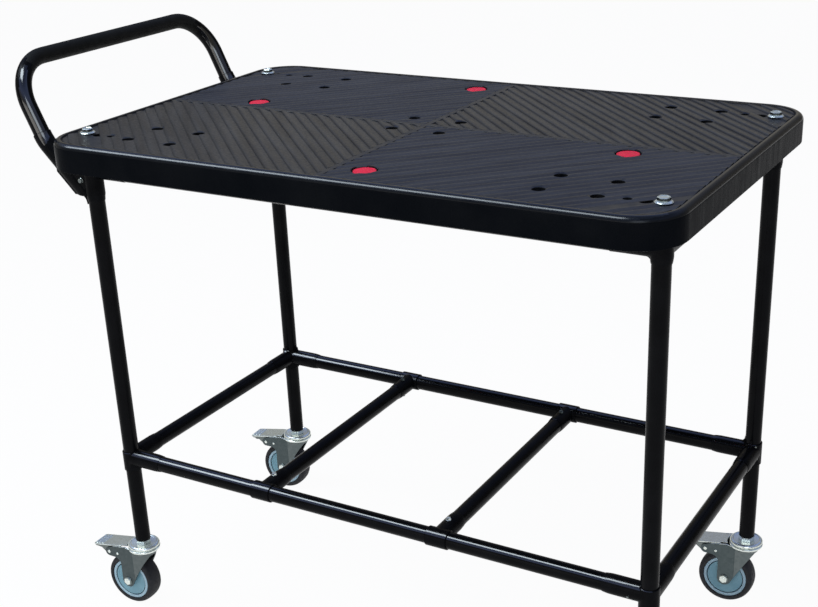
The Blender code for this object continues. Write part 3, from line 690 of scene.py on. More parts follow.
def deck_bores():
    """Cutter for the moulded holes, the bolt holes and the stepped seats of the plugs."""
    bores = Shape()
    for x, y, radius in deck_holes():
        wide = radius + HOLE_EASE
        profile = [(0, CUT_LOW), (radius, CUT_LOW), (radius, FIELD - HOLE_EASE), (wide, FIELD)]
        bores.add(turned(profile + [(wide, CUT_HIGH), (0, CUT_HIGH)], 28), at(x, y))
    for x, y in LEGS:
        bores.add(drum(BOLT_HOLE_RADIUS, CUT_LOW, CUT_HIGH, 24), at(x, y))
    for spot in PLUGS.values():
        profile = [(0, CUT_LOW), (0.0154, CUT_LOW), (0.0154, -0.0034), (0.02, -0.0034)]
        profile += [(0.02, -0.0008), (0.0206, 0.0004), (0.0206, CUT_HIGH), (0, CUT_HIGH)]
        bores.add(turned(profile, 44), at(spot.x, spot.y))
    return bores


RIM_LIGHT = Vector((0, -0.5, 0.866))


def deck_mark(face):
    """Number of a deck face's finish: field, skirt, bore, rim or rim edge; the skirt and bore are painted
    shade, the rim a painted highlight and the rim edge a softer painted sheen.
    """
    spot = face.center - DECK_ORIGIN
    normal = face.normal
    inset = inset_at(spot.x, spot.y)
    if inset < RIM_INSIDE:
        # Faces toward the strip lamp and the rim's flat top get the glossy rim copy, a painted highlight.
        # Faces near them and the right side's top get a softer painted sheen. The rest of the edge gets the
        # skirt's painted shade.
        facing = normal.dot(RIM_LIGHT) if spot.z > -DECK_EDGE else 0.0
        flat = normal.z > 0.75 and normal.y > -0.1 and normal.x < 0.1
        right = normal.z > 0.2 and normal.x > 0.1
        if facing > 0.9 or flat:
            return 3
        return 4 if facing > 0.7 or right else 1
    # The underside and faces looking down take the skirt's painted shade; walls below the field take the
    # bore's painted shade.
    if spot.z < -DECK_PLATE - 0.0002 or normal.z < -0.5:
        return 1
    return 2 if spot.z < FIELD - 0.0001 and inset > FIELD_START else 0


def build_deck():
    deck = add_object("deck_look", deck_solid().mesh("deck_look"))
    carve(deck, deck_pockets())
    carve_shape(deck, deck_bores())
    deck.data.transform(ON_DECK)
    present(deck, "frame", (DECK, SKIRT, BORE, RIM, RIM_SOFT_SHEEN), "deck_panel", 32)
    for face in deck.data.polygons:
        face.material_index = deck_mark(face)


TREAD_X = DECK_LENGTH / 2 - RIM_WIDTH - TREAD_RIM_GAP
TREAD_Y = DECK_WIDTH / 2 - RIM_WIDTH - TREAD_RIM_GAP


def tread_outline(side_x, side_y):
    """The tread's edge in one quarter of the deck."""
    bend = DECK_CORNER - RIM_WIDTH - TREAD_RIM_GAP
    outline = [(TREAD_BAND, TREAD_BAND), (TREAD_X, TREAD_BAND)]
    outline += arc((TREAD_X - bend, TREAD_Y - bend), bend, 0, TAU / 4, 10)
    outline.append((TREAD_BAND, TREAD_Y))
    return [(x * side_x, y * side_y) for x, y in outline]


def tread_rib(middle_line, along, across):
    """One long rib, steep on the side that across starts from and easing away on the other."""
    wide = TREAD_PITCH - TREAD_GAP
    low = FIELD - 2 * TREAD_ROOT
    shares = [(0.0003, 0.22), (0.001, 0.7), (0.002, 0.92), (0.0034, 1.0), (0.0052, 0.95), (0.0072, 0.82)]
    shares += [(wide - 0.002, 0.14), (wide, 0.05)]
    section = [(0.0, low)]
    section += [(offset, FIELD + TREAD_RISE * share) for offset, share in shares]
    section.append((wide, low))
    loops = []
    for end in (-RIB_HALF, RIB_HALF):
        loop = []
        for offset, height in section:
            flat = middle_line + along * end + across * (offset - TREAD_PITCH / 2)
            loop.append((flat.x, flat.y, height))
        loops.append(loop)
    return stacked(loops)


def rib_cut(radius, slope):
    """Drum that clears the ribs round an opening, widening by the slope up to their crests."""
    wide = radius + slope
    crest = FIELD + TREAD_RISE + 0.0002
    side = [(radius, -0.01), (radius, FIELD), (wide, crest), (wide, 0.01)]
    return turned([(0, -0.01), *side, (0, 0.01)], 40)


def build_tread():
    """Saw-tooth ribs at a slant in each quarter, cut back round the holes, plugs and bolts."""
    quarter = [(TREAD_X, TREAD_BAND), (TREAD_BAND, TREAD_BAND), (TREAD_BAND, TREAD_Y)]
    cross = quarter + [(-x, y) for x, y in reversed(quarter)]
    cross += [(-x, -y) for x, y in quarter] + [(x, -y) for x, y in reversed(quarter)]
    bands = Shape().add(plate(cross, FIELD - TREAD_ROOT, FIELD + TREAD_RISE * 0.85, 0.0005), ON_DECK)
    add_piece("tread_bands", bands, "frame", (DECK,))
    holes = [(x, y, radius + HOLE_EASE) for x, y, radius in deck_holes()]
    gaps = [(x, y, radius, HOLE_SLOPE) for x, y, radius in holes]
    gaps += [(spot.x, spot.y, PLUG_GAP, 0.0) for spot in PLUGS.values()]
    gaps += [(x, y, BOLT_GAP, 0.0) for x, y in LEGS]
    for corner, (side_x, side_y) in CORNERS.items():
        slant = -1 if corner in ("back_right", "front_left") else 1
        along = Vector((1, slant)).normalized()
        across = Vector((-along.y, along.x)) * -slant
        outline = tread_outline(side_x, side_y)
        reach = [Vector(point).dot(across) / TREAD_PITCH for point in outline]
        ribs = Shape()
        for line in range(math.floor(min(reach)) - 1, math.ceil(max(reach)) + 2):
            ribs.add(tread_rib(across * (line + 0.5) * TREAD_PITCH, along, across))
        item = add_object("tread_" + corner, ribs.mesh("tread_" + corner))
        carve_shape(item, Shape().add(plate(outline, FIELD - TREAD_ROOT, 0.02, 0)), "INTERSECT")
        cuts = Shape()
        for x, y, radius, slope in gaps:
            if x * side_x > 0 and y * side_y > 0:
                cuts.add(rib_cut(radius, slope), at(x, y))
        carve_shape(item, cuts)
        item.data.transform(ON_DECK)
        present(item, "frame", (TREADS[slant], BORE), sharp=50)
        # Upright faces at the holes take the near-black bore copy: painted shade.
        for face in item.data.polygons:
            spot = face.center - DECK_ORIGIN
            upright = abs(face.normal.z) < 0.35
            if upright and any(math.hypot(spot.x - x, spot.y - y) < r + 0.0002 for x, y, r in holes):
                face.material_index = 1


def build_plugs():
    profile = [(0, -0.0002), (0.008, -0.0004), (0.013, -0.0009), (0.0148, -0.001)]
    profile += [(0.0163, -0.0005), (0.0172, -0.0008), (0.0177, -0.0016), (PLUG_RADIUS, -0.0029)]
    profile += [(0.015, -0.003), (0.015, -0.0098), (0.014, -0.0105), (0, -0.0105)]
    for side, spot in PLUGS.items():
        shape = Shape().add(turned(profile, 48), ON_DECK @ at(spot.x, spot.y))
        add_piece("plug_look_" + side, shape, "frame", (PLUG,), "red_plug_" + side, 40)


def build_deck_bolts():
    """A flanged hexagon head with a dished top, on its washer."""
    washer = [(0.0052, 0.0003), (0.0126, 0.0003), (0.013, 0.0008), (0.013, 0.0014)]
    washer += [(0.0125, 0.0018), (0.0052, 0.0018)]
    flange = [(0, 0.0016), (0.012, 0.0016), (0.0124, 0.002), (0.0121, 0.0025), (0.0098, 0.0038), (0, 0.004)]
    wide = 0.0165 / math.sqrt(3)
    head = [(0, 0.0032), (wide - 0.0004, 0.0032), (wide, 0.004), (wide, 0.0076), (wide - 0.0009, 0.0086)]
    head += [(wide - 0.0024, 0.0088), (wide - 0.0034, 0.008), (0, 0.0076)]
    for corner in CORNERS:
        name = "deck_bolt_" + corner
        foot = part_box(name)[0].z - DECK_TOP
        shank = [(0, foot), (0.0044, foot), (0.005, foot + 0.0008), (0.005, 0.0027), (0, 0.0027)]
        shape = Shape().add(turned(washer, 40, True))
        shape.add(turned(flange, 40))
        shape.add(turned(head, 6), Matrix.Rotation(0.35, 4, "Z"))
        shape.add(turned(shank, 20))
        spot = middle(name)
        bolt = shape.moved(at(spot.x, spot.y, DECK_TOP))
        # Bolt faces looking up take the bright zinc copy, painted light; the rest take the dark copy,
        # painted shade.
        shine(add_piece("bolt_look_" + corner, bolt, "frame", (ZINC_SHADE, ZINC), name))


# Pipes and joints

RAIL_LIGHT = (0, -0.53, 0.848)
RAIL_LEVEL = 0.9
ARM_LIGHT = (0.67, -0.676, 0.309)
ARM_LEVEL = 0.84


def build_straight_pipes():
    names = ["leg_" + corner for corner in CORNERS]
    for level in ("upper", "lower"):
        names += [level + "_rail_" + side for side in ("front", "back", "left", "right")]
    names += ["cross_bar_left", "cross_bar_right"]
    for name in names:
        low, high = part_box(name)
        size = high - low
        axis = max(range(3), key=lambda i: size[i])
        centre = (low + high) / 2
        start, end = centre.copy(), centre.copy()
        start[axis], end[axis] = low[axis], high[axis]
        run = [start.lerp(end, i / 4) for i in range(5)]
        shape = Shape().add(tube(run, PIPE_RADIUS, PIPE_BORE, 40))
        item = add_piece(name + "_look", shape, "frame", (PIPE, PIPE_SHEEN), name)
        # Rails along X take the glossy paint on the faces toward the strip lamp, a painted highlight. Legs,
        # cross bars and side rails keep the dull copy all round, painted shade.
        if axis == 0:
            shine(item, RAIL_LIGHT, RAIL_LEVEL)


def build_handle():
    low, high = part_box("push_handle")
    up = Vector((-math.sin(HANDLE_LEAN), 0, math.cos(HANDLE_LEAN)))
    grip = Vector((low.x + PIPE_RADIUS, 0, high.z - PIPE_RADIUS))
    half = high.y - PIPE_RADIUS
    arm = (grip.z - (low.z + PIPE_RADIUS * math.sin(HANDLE_LEAN))) / up.z
    path = [(-half, -arm + arm * 0.3 * i) for i in range(2)]
    path += arc((HANDLE_BEND - half, -HANDLE_BEND), HANDLE_BEND, math.pi, math.pi / 2, 16)
    path += arc((half - HANDLE_BEND, -HANDLE_BEND), HANDLE_BEND, math.pi / 2, 0, 16)
    path += [(half, -arm + arm * 0.3 * i) for i in (1, 0)]
    run = [grip + Vector((0, side, 0)) + up * rise for side, rise in path]
    shape = Shape().add(tube(run, PIPE_RADIUS, PIPE_BORE, 40))
    finishes = (PIPE, PIPE_SHEEN, GRIP)
    item = add_piece("push_handle_look", shape, "frame", finishes, "push_handle", 40)
    # Faces of the handle toward a lamp take the glossy paint, a painted highlight, and the rest take the
    # dull copy, painted shade. The grip between the bends then takes its own matt finish.
    shine(item, ARM_LIGHT, ARM_LEVEL)
    for face in item.data.polygons:
        if abs(face.center.y) < half - HANDLE_BEND * BARE_BEND:
            face.material_index = 2


def form_joint(bars, webs, bores):
    """Joins bars and webs and bores them; all are shells about the joint's centre."""
    item = add_object("joint_form", Shape().add(bars[0]).mesh("joint_form"))
    for shell in bars[1:] + webs:
        carve_shape(item, Shape().add(shell), "UNION")
    for shell in bores:
        carve_shape(item, Shape().add(shell))
    points = [v.co.copy() for v in item.data.vertices]
    faces = [tuple(f.vertices) for f in item.data.polygons]
    bpy.data.objects.remove(item, do_unlink=True)
    return Shape().add((points, faces))


def web(first, second, reach_a, reach_b, fillet):
    """Thin web between two arms at a right angle, with a hollow corner."""
    centre = (WEB_INNER + fillet, WEB_INNER + fillet)
    outline = [(0, 0), (reach_a, 0), (reach_a, WEB_INNER)]
    outline += arc(centre, fillet, -TAU / 4, -TAU / 2, 8)
    outline += [(WEB_INNER, reach_b), (0, reach_b)]
    shell = plate(outline, -WEB_THICK / 2, WEB_THICK / 2, 0.0005)
    return moved_shell(shell, plane_place((0, 0, 0), first, second))


def socket_bar(direction, radius, reach):
    """A solid socket from the joint's centre, easing down to its pipe at the mouth."""
    lip = JOINT_BORE + 0.0004
    profile = [(0, 0), (radius, 0), (radius, reach - 0.012), (radius - (radius - lip) * 0.3, reach - 0.007)]
    profile += [(lip, reach - 0.0008), (lip - 0.0002, reach), (0, reach)]
    return moved_shell(turned(profile, 40), aimed(direction))


def bore(start, end):
    return tube([start, end], JOINT_BORE, 0, 40)


def corner_form(low, high, ups=(), downs=(), bars=(), webs=(), bores=(),
                open_top=True, flared=0.0, long_radius=LONG_SOCKET_RADIUS):
    """Joint of a leg with two sockets, toward -X and -Y, as for the back right corner.

    The ups and downs are the (reach, fillet) of webs on the leg above and below both sockets.
    """
    if flared > 0:
        profile = [(0, low - flared), (0.0147, low - flared), (0.0152, low - flared * 0.6)]
        profile += [(SLEEVE_RADIUS, low + flared), (SLEEVE_RADIUS, high), (0, high)]
        solid = [turned(profile, 40)]
    else:
        solid = [tube([(0, 0, low), (0, 0, high)], SLEEVE_RADIUS, 0, 40, 0.0009)]
    solid.append(socket_bar((-1, 0, 0), long_radius, SOCKET_REACH))
    solid.append(socket_bar((0, -1, 0), END_SOCKET_RADIUS, SOCKET_REACH))
    solid += list(bars)
    thin = [web((-1, 0, 0), (0, -1, 0), WEB_REACH, WEB_REACH, 0.009)]
    for sign, sizes in ((1, ups), (-1, downs)):
        for reach, fillet in sizes:
            for side in ((-1, 0, 0), (0, -1, 0)):
                thin.append(web(side, (0, 0, sign), WEB_REACH, reach, fillet))
    cuts = [bore((-PIPE_STOP, 0, 0), (-BORE_REACH, 0, 0)), bore((0, -PIPE_STOP, 0), (0, -BORE_REACH, 0))]
    top = high + 0.015 if open_top else high - 0.003
    cuts.append(bore((0, 0, low - flared - 0.01), (0, 0, top)))
    return form_joint(solid, thin + list(webs), cuts + list(bores))


def clamp_bolt(spot, direction, length=0.0):
    """A small hexagon head on its washer, and a nut at the far end where a length is given."""
    washer = [(0, -0.003), (0.0046, -0.003), (0.0046, 0.0004), (0.0042, 0.0008), (0, 0.0008)]
    place = aimed(direction, spot)
    shape = Shape().add(turned(washer, 24), place)
    shape.add(hexagon(CLAMP_HEX, 0.0004, 0.004, 0.0006), place)
    if length > 0:
        shape.add(hexagon(CLAMP_HEX, -length - 0.004, -length + 0.003, 0.0006), place)
        end = [(0, -length - 0.0062), (0.0016, -length - 0.0062), (0.002, -length - 0.0056)]
        shape.add(turned(end + [(0.002, -length), (0, -length)], 16), place)
    return shape


def mirrored(shape, centre, side_x, side_y):
    return shape.moved(Matrix.Translation(centre) @ Matrix.Diagonal((side_x, side_y, 1, 1)))


def add_joint(name, shape):
    return add_piece(name + "_look", shape, "frame", (JOINT, JOINT_SHEEN), name)


def build_lower_joints():
    front = corner_form(-0.0245, 0.0135, downs=[(0.0239, 0.0088)])
    back = corner_form(-0.0235, 0.0185, ups=[(0.027, 0.0115)])
    pins = {
        "back_right": [
            ((0.0086, -0.0132, 0.0146), (0.54, -0.84, 0)),
            ((0.0147, -0.0204, -0.0045), (0.96, 0, -0.29)),
        ],
        "front_right": [
            ((-0.029, 0.0143, -0.0066), (0, 0.91, -0.42)),
            ((-0.022, 0.0118, -0.0105), (0, 0.75, -0.66)),
        ],
    }
    for corner, (side_x, side_y) in CORNERS.items():
        spot = middle("leg_" + corner)
        spot.z = middle("lower_rail_front").z
        form = front if side_y < 0 else back
        item = add_joint("lower_joint_" + corner, mirrored(form, spot, side_x, side_y))
        # Glossy paint on the faces toward the strip lamp: a painted highlight.
        shine(item, RAIL_LIGHT, RAIL_LEVEL)
        if corner not in pins:
            continue
        shape = Shape()
        for place, direction in pins[corner]:
            shape.add(dome(0.0021, 0.0007, 0.003), aimed(direction, place))
        shape = mirrored(shape, spot, side_x, side_y)
        # The pins take the dark zinc copy: painted shade.
        add_piece("clamp_pins_" + corner, shape, "frame", (ZINC_SHADE,))


def build_tees():
    bars = [tube([(-TEE_HALF, 0, 0), (TEE_HALF, 0, 0)], SLEEVE_RADIUS, 0, 40, 0.0009)]
    bars.append(socket_bar((0, -1, 0), END_SOCKET_RADIUS, TEE_REACH))
    webs = [web((side, 0, 0), (0, -1, 0), TEE_HALF - 0.0006, 0.03, 0.0038) for side in (-1, 1)]
    bores = [bore((-0.04, 0, 0), (0.04, 0, 0)), bore((0, -PIPE_STOP, 0), (0, -BORE_REACH, 0))]
    form = form_joint(bars, webs, bores)
    bolts = clamp_bolt((0.0005, -0.0345, 0.0153), (0, 0, 1), 0.0306)
    for row, side_y in (("front", -1), ("back", 1)):
        for side in ("left", "right"):
            spot = middle("lower_rail_front")
            spot.x = middle("cross_bar_" + side).x
            spot.y = middle("lower_rail_" + row).y
            place = Matrix.Translation(spot) @ Matrix.Diagonal((side_y, side_y, 1, 1))
            item = add_joint("tee_joint_" + row + "_" + side, form.moved(place))
            # Glossy paint on the faces toward the strip lamp: a painted highlight.
            shine(item, RAIL_LIGHT, RAIL_LEVEL)
            # The back tees are the same part turned over, so their bolt heads face down
            bolt = bolts.moved(place @ Matrix.Diagonal((1, 1, -side_y, 1)))
            # The front bolts are wholly in the bright zinc copy, painted light, and the back ones are in
            # the dark fork copy, painted shade.
            finish = ZINC if row == "front" else FORK_ZINC
            add_piece("clamp_bolt_" + row + "_" + side, bolt, "frame", (finish,))


def left_upper_form(height, top):
    """Joint at the handle end, drawn as for the back right corner, so its strut leans to +X."""
    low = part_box("upper_joint_front_left")[0].z - height
    foot, elbow, mouth = [Vector((x, 0, z - height)) for x, z in STRUT]
    # A soft elbow between the strut and the short socket
    near, far = elbow.lerp(foot, 0.075), elbow.lerp(mouth, 0.75)
    strut = tube([foot, *curve(near, elbow, far, 8), mouth], END_SOCKET_RADIUS, 0, 40, 0.0009)
    brace = [(0, low), (0.036, low), (0.072, low + 0.036), (0.072, top - 0.0008), (0, top - 0.0008)]
    upright = plane_place((0, 0, 0), (1, 0, 0), (0, 0, 1))
    strut_web = moved_shell(plate(brace, -0.012, 0.012, 0.0012, 3), upright)
    trim = plate([(-0.1, -0.1), (0.1, -0.1), (0.1, 0.1), (-0.1, 0.1)], low - 0.08, low, 0)
    lean = Vector((math.sin(HANDLE_LEAN), 0, math.cos(HANDLE_LEAN)))
    socket = bore(mouth - lean * 0.0123, mouth + lean * 0.02)
    form = corner_form(low, top, bars=[strut], webs=[strut_web], bores=[trim, socket],
                       open_top=False, long_radius=SLIM_SOCKET_RADIUS)
    # Below the strut the sleeve eases down on to the leg
    ease = [(JOINT_BORE, low + 0.001), (0.016, low + 0.001), (0.0153, low - 0.003)]
    ease += [(0.0148, low - 0.009), (JOINT_BORE, low - 0.0095)]
    form.add(turned(ease, 40, True))
    gusset = [(0.0135, low + 0.001), (0.027, low + 0.001), (0.0205, low - 0.0024), (0.0168, low - 0.006)]
    gusset += [(0.0149, low - 0.011), (0.0141, low - 0.016), (0.013, low - 0.016)]
    return form.add(moved_shell(plate(gusset, -0.009, 0.009, 0.0006), upright))


def build_upper_joints():
    height = middle("upper_rail_front").z
    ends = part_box("upper_joint_front_right")
    low, top = ends[0].z - height, ends[1].z - height
    drop = -low + 0.0048
    right = corner_form(low, top, downs=[(drop, drop - 0.015)], open_top=False, flared=0.0045,
                        long_radius=SLIM_SOCKET_RADIUS)
    left = left_upper_form(height, top)
    arm_light = Vector(ARM_LIGHT).normalized()
    for corner, (side_x, side_y) in CORNERS.items():
        spot = middle("leg_" + corner)
        spot.z = height
        form = right if side_x > 0 else left
        item = add_joint("upper_joint_" + corner, mirrored(form, spot, side_x, side_y))
        # Faces of the handle sockets toward a lamp take the glossy paint: a painted highlight.
        for face in item.data.polygons:
            on_arm = face.center.z > ARM_LOW and abs(face.center.x - spot.x) > ARM_OUT
            if on_arm and face.normal.dot(arm_light) > ARM_LEVEL:
                face.material_index = 1
        if corner == "front_right":
            continue
        seat = ((0.0185, 0.0118, -0.0185), (0, 1, 0)) if side_x < 0 else ((0, -0.044, -0.0154), (0, 0, -1))
        bolt = mirrored(clamp_bolt(*seat), spot, side_x, side_y)
        # Bolt faces looking up take the bright zinc copy, painted light; the rest take the dark copy,
        # painted shade.
        shine(add_piece("clamp_bolt_top_" + corner, bolt, "frame", (ZINC_SHADE, ZINC)))


# Casters, each formed about its swivel axis with the wheel trailing toward local X

def raised(profile, height):
    return [(radius, height + rise) for radius, rise in profile]


def fork_side():
    """Outline of a fork plate, as (trail, height)."""
    knee = (-0.001, 0.0863)  # the front edge runs on toward it
    run, rise = TRAIL - knee[0], knee[1] - AXLE_HEIGHT
    tangent = math.atan2(rise, run) + math.asin(FORK_EYE / math.hypot(run, rise))
    outline = [(FORK_CREASE, FORK_TOP - 0.006), (FORK_CREASE, FORK_FOOT)]
    outline += arc((TRAIL, AXLE_HEIGHT), FORK_EYE, -TAU / 4 - tangent, 0, 14)
    outline += [(0.0447, 0.088), (0.047, 0.0925), (0.0515, 0.0965), (0.058, 0.0983)]
    outline += arc(PIN, 0.009, -TAU / 4, TAU / 6, 10)
    outline += [(0.06, 0.1208), (0.044, 0.1238), (0.031, 0.1262), (0.027, FORK_TOP - 0.003)]
    return outline


def build_fork_form():
    crown = [(0.0074, 0), (0.0262, 0), (0.0284, -0.0008), (0.0297, -0.002), (0.03, -0.0034)]
    crown += [(0.0298, -0.0048), (0.0287, -0.0059), (0.0264, -0.0066), (0.024, -0.0092), (0.0226, -0.014)]
    crown += [(0.0198, -0.014), (0.0198, -0.0068), (0.0176, -0.0048), (0.0074, -0.0048)]
    # The crown and the front sheet take the fork's lighter painted shade (mark 1). The plates take its
    # darker painted shade, and the rivet heads the bright zinc copy (mark 2), painted light.
    shape = Shape().add(turned(raised(crown, FORK_TOP), 56, True), None, 1)
    outline = fork_side()
    half = FORK_SHEET / 2
    for sign in (-1, 1):
        place = plane_place((0, sign * FORK_MIDDLE, 0), (1, 0, 0), (0, 0, 1))
        shape.add(plate(outline, -half, half, 0.0006, 3), place)
        shape.add(dome(0.0027, 0.0016, 0.001), sideways(sign, (0.05, sign * FORK_OUT, 0.1075)), 2)
    # Sheet that bends round the front from one plate to the other
    loops = []
    steps = 28
    high = FORK_TOP - 0.006
    for k in range(steps + 1):
        angle = TAU / 2 * k / steps
        ahead, side = math.sin(angle), math.cos(angle)
        low = FORK_FOOT + 0.0672 * ahead - 0.0086 * ahead * ahead
        section = [(0.0006, low), (0.0, low + 0.0006), (0.0, high)]
        section += [(FORK_SHEET, high), (FORK_SHEET, low + 0.0006), (0.0019, low)]
        loop = []
        for depth, height in section:
            loop.append((FORK_CREASE - (FORK_NOSE - depth) * ahead, (FORK_OUT - depth) * side, height))
        loops.append(loop)
    return shape.add(stacked(loops), None, 1)


def build_stem_form():
    race = [(0.007, 0), (0.0266, 0), (0.0287, 0.0007), (0.0295, 0.0018), (0.0297, 0.003), (0.0293, 0.0043)]
    race += [(0.0283, 0.0056), (0.027, 0.0065), (0.0256, 0.0069), (0.0246, 0.0067), (0.0238, 0.0058)]
    race += [(0.0225, 0.0052), (0.007, 0.005)]
    shape = Shape().add(turned(raised(race, RACE_UNDER), 56, True))
    nut = hexagon(0.025, RACE_UNDER + 0.0046, HEX_TOP, 0.0014)
    # The hexagon takes the bright zinc copy (mark 1): painted light.
    shape.add(nut, Matrix.Rotation(0.2, 4, "Z"), 1)
    king_pin = [(0, 0.1208), (0.0105, 0.1208), (0.011, 0.1214), (0.011, 0.1236), (0.007, 0.1238)]
    step = HEX_TOP - 0.001
    plug = [(0.007, step), (0.0119, step), (0.0119, 0.1715), (0.0108, 0.1729), (0, 0.1729)]
    return shape.add(turned(king_pin + plug, 32))


def wheel_shell(half):
    """Ring turned about the axle from the (radius, height) points of one side."""
    profile = half + [(radius, -height) for radius, height in reversed(half)]
    return moved_shell(turned(profile, 72, True), sideways(1, (TRAIL, 0, AXLE_HEIGHT)))


def build_wheel_forms():
    tyre = [(0.0408, 0.0146), (0.0414, 0.016), (0.0432, 0.0169), (0.0456, 0.017), (0.0478, 0.016)]
    tyre += [(0.0496, 0.014), (0.0508, 0.011), (0.0514, 0.0072), (AXLE_HEIGHT, 0.003)]
    hub = [(0.0054, 0.0192), (0.01, 0.0192), (0.011, 0.0183), (0.0114, 0.015), (0.0126, 0.0138)]
    hub += [(0.016, 0.0134), (0.03, 0.014), (0.0328, 0.0144), (0.0333, 0.014), (0.0336, 0.0128)]
    hub += [(0.0342, 0.0128), (0.0346, 0.0142), (0.0352, 0.0154), (0.0368, 0.016), (0.0388, 0.0159)]
    hub += [(0.0402, 0.015), (0.0405, 0.0138)]
    return wheel_shell(tyre), wheel_shell(hub)


def build_axle_form():
    ends = [(TRAIL, -0.0264, AXLE_HEIGHT), (TRAIL, 0.0264, AXLE_HEIGHT)]
    shape = Shape().add(tube(ends, 0.0046, 0, 24, 0.0008))
    # The head and shank take the bright zinc copy, painted light, and the washers (mark 1) take the dark
    # copy, painted shade.
    washer = [(0.0047, 0.0221), (0.0088, 0.0221), (0.009, 0.0226), (0.0086, 0.0231), (0.0047, 0.0231)]
    for sign in (-1, 1):
        turn = sideways(sign, (TRAIL, 0, AXLE_HEIGHT))
        shape.add(hexagon(0.013, 0.0222, 0.02605, 0.0008), turn @ Matrix.Rotation(0.4, 4, "Z"))
        shape.add(turned(washer, 32, True), turn, 1)
    return shape


def build_pedal_form():
    """Brake pedal about its pin."""
    shape = Shape()
    slope = Matrix.Rotation(PEDAL_SLOPE, 4, "Y")
    # The front end is hollowed to clear the race
    hollow = [0.54 - 0.108 * i for i in range(11)]
    tread = [(RACE_CLEAR * math.cos(a) - PIN[0], RACE_CLEAR * math.sin(a)) for a in hollow]
    tread += rounded([(-0.03, -PEDAL_HALF, 0.004), (0.0385, -PEDAL_HALF, 0.006),
                      (0.0385, PEDAL_HALF, 0.006), (-0.03, PEDAL_HALF, 0.004)])
    # The tread, its ridges and the pin heads take the bright zinc copy (mark 1), painted light. The
    # flanges, tongue and pin take the dark copy, painted shade.
    shape.add(plate(tread, 0.0108, 0.0133, 0.0008, 3), slope, 1)
    for x in (0.0195, 0.027, 0.034):
        ridge = tube([(x, -0.0155, 0.0126), (x, 0.0155, 0.0126)], 0.0024, 0, 14, 0.0012)
        shape.add(ridge, slope, 1)
    flange = rounded([(-0.03, 0.0118, 0), (-0.028, 0.006, 0.003), (-0.007, -0.0052, 0.006),
                      (0.0085, -0.0052, 0.005), (0.02, 0.0068, 0.004), (0.033, 0.0094, 0.002),
                      (0.0345, 0.0118, 0)])
    for sign in (-1, 1):
        place = slope @ plane_place((0, sign * PEDAL_SIDE, 0), (1, 0, 0), (0, 0, 1))
        shape.add(plate(flange, -PEDAL_SHEET / 2, PEDAL_SHEET / 2, 0.0005), place)
        shape.add(dome(0.0034, 0.0013, 0.004), sideways(sign, (0, sign * FORK_OUT, 0)), 1)
    tongue = rounded([(-0.004, -0.013, 0.002), (0.036, -0.0115, 0.006),
                      (0.036, 0.0115, 0.006), (-0.004, 0.013, 0.002)])
    shape.add(plate(tongue, -0.001, 0.0012, 0.0006), Matrix.Rotation(math.radians(4), 4, "Y"))
    shape.add(tube([(0, -0.0222, 0), (0, 0.0222, 0)], 0.0025, 0, 20))
    return shape.moved(at(PIN[0], 0, PIN[1]))


def ring_finish(item, axis, reach, mark, low):
    """Gives a finish to the faces above a height that lie far enough from an upright axis; here the bright
    zinc copy, painted light on the outer band of the race and the crown's edge.
    """
    for face in item.data.polygons:
        if face.center.z > low and math.hypot(face.center.x - axis.x, face.center.y - axis.y) > reach:
            face.material_index = mark


def hub_finish(item, centre, spin):
    """Face, groove and ring of a hub, told apart by their distance from the axle; the groove is near black,
    painted shade.
    """
    for face in item.data.polygons:
        arm = face.center - centre
        reach = (arm - spin * arm.dot(spin)).length
        face.material_index = 0 if reach < HUB_FACE else (2 if reach < HUB_GROOVE_END else 1)


def build_casters():
    tyre, hub = build_wheel_forms()
    # Zinc finishes here are lit and shaded copies of one plating: the bright one is painted light, and the
    # dark and fork ones are painted shade.
    kinds = (
        ("stem", "caster_stem_", "frame", "zinc", (ZINC_SHADE, ZINC), build_stem_form()),
        ("fork", "caster_fork_", "fork_", "zinc", (FORK_ZINC, FORK_FRONT, ZINC), build_fork_form()),
        ("axle", "caster_axle_", "fork_", "zinc", (ZINC, ZINC_SHADE), build_axle_form()),
        ("pedal", "brake_pedal_", "pedal_", "zinc", (ZINC_SHADE, ZINC), build_pedal_form()),
        ("tyre", "caster_tyre_", "wheel_", "tyre", (TYRE,), Shape().add(tyre)),
        ("hub", "caster_hub_", "wheel_", "hub", (HUB, HUB_RING, HUB_GROOVE), Shape().add(hub)),
    )
    for corner in CORNERS:
        foot = middle("leg_" + corner)
        away = middle("caster_hub_" + corner) - foot
        place = at(foot.x, foot.y) @ Matrix.Rotation(math.atan2(away.y, away.x), 4, "Z")
        made = {}
        for kind, stands_for, body, slot, finishes, form in kinds:
            if body != "frame":
                body += corner
            name = kind + "_look_" + corner
            made[kind] = add_piece(name, form.moved(place), body, finishes, stands_for + corner)
        # The stem's upward faces, the race's outer band and the crown's outer edge take the bright zinc
        # copy: painted light.
        ring_finish(shine(made["stem"]), foot, RACE_BAND, 1, RACE_UNDER + 0.0002)
        ring_finish(made["fork"], foot, CROWN_BAND, 2, FORK_TOP - 0.0064)
        axle = place @ Vector((TRAIL, 0, AXLE_HEIGHT))
        hub_finish(made["hub"], axle, place.to_3x3() @ Vector((0, 1, 0)))


build_deck()
build_tread()
build_plugs()
build_deck_bolts()
build_straight_pipes()
build_handle()
build_lower_joints()
build_tees()
build_upper_joints()
build_casters()


# Floor, light and camera

FLOOR_HALF = 60
FLOOR_HEIGHT = -0.0004
WHITE_SHARE = 0.96
SEEN_WHITE = (0.97, 0.97, 0.97, 1)


def seen_by(tree, kinds):
    """One for a ray of any of the given kinds, and nought for others."""
    path = tree.nodes.new("ShaderNodeLightPath")
    seen = path.outputs[kinds[0]]
    for kind in kinds[1:]:
        either = node(tree, "Math", {0: seen, 1: path.outputs[kind]})
        either.operation = "MAXIMUM"
        seen = either.outputs[0]
    return seen


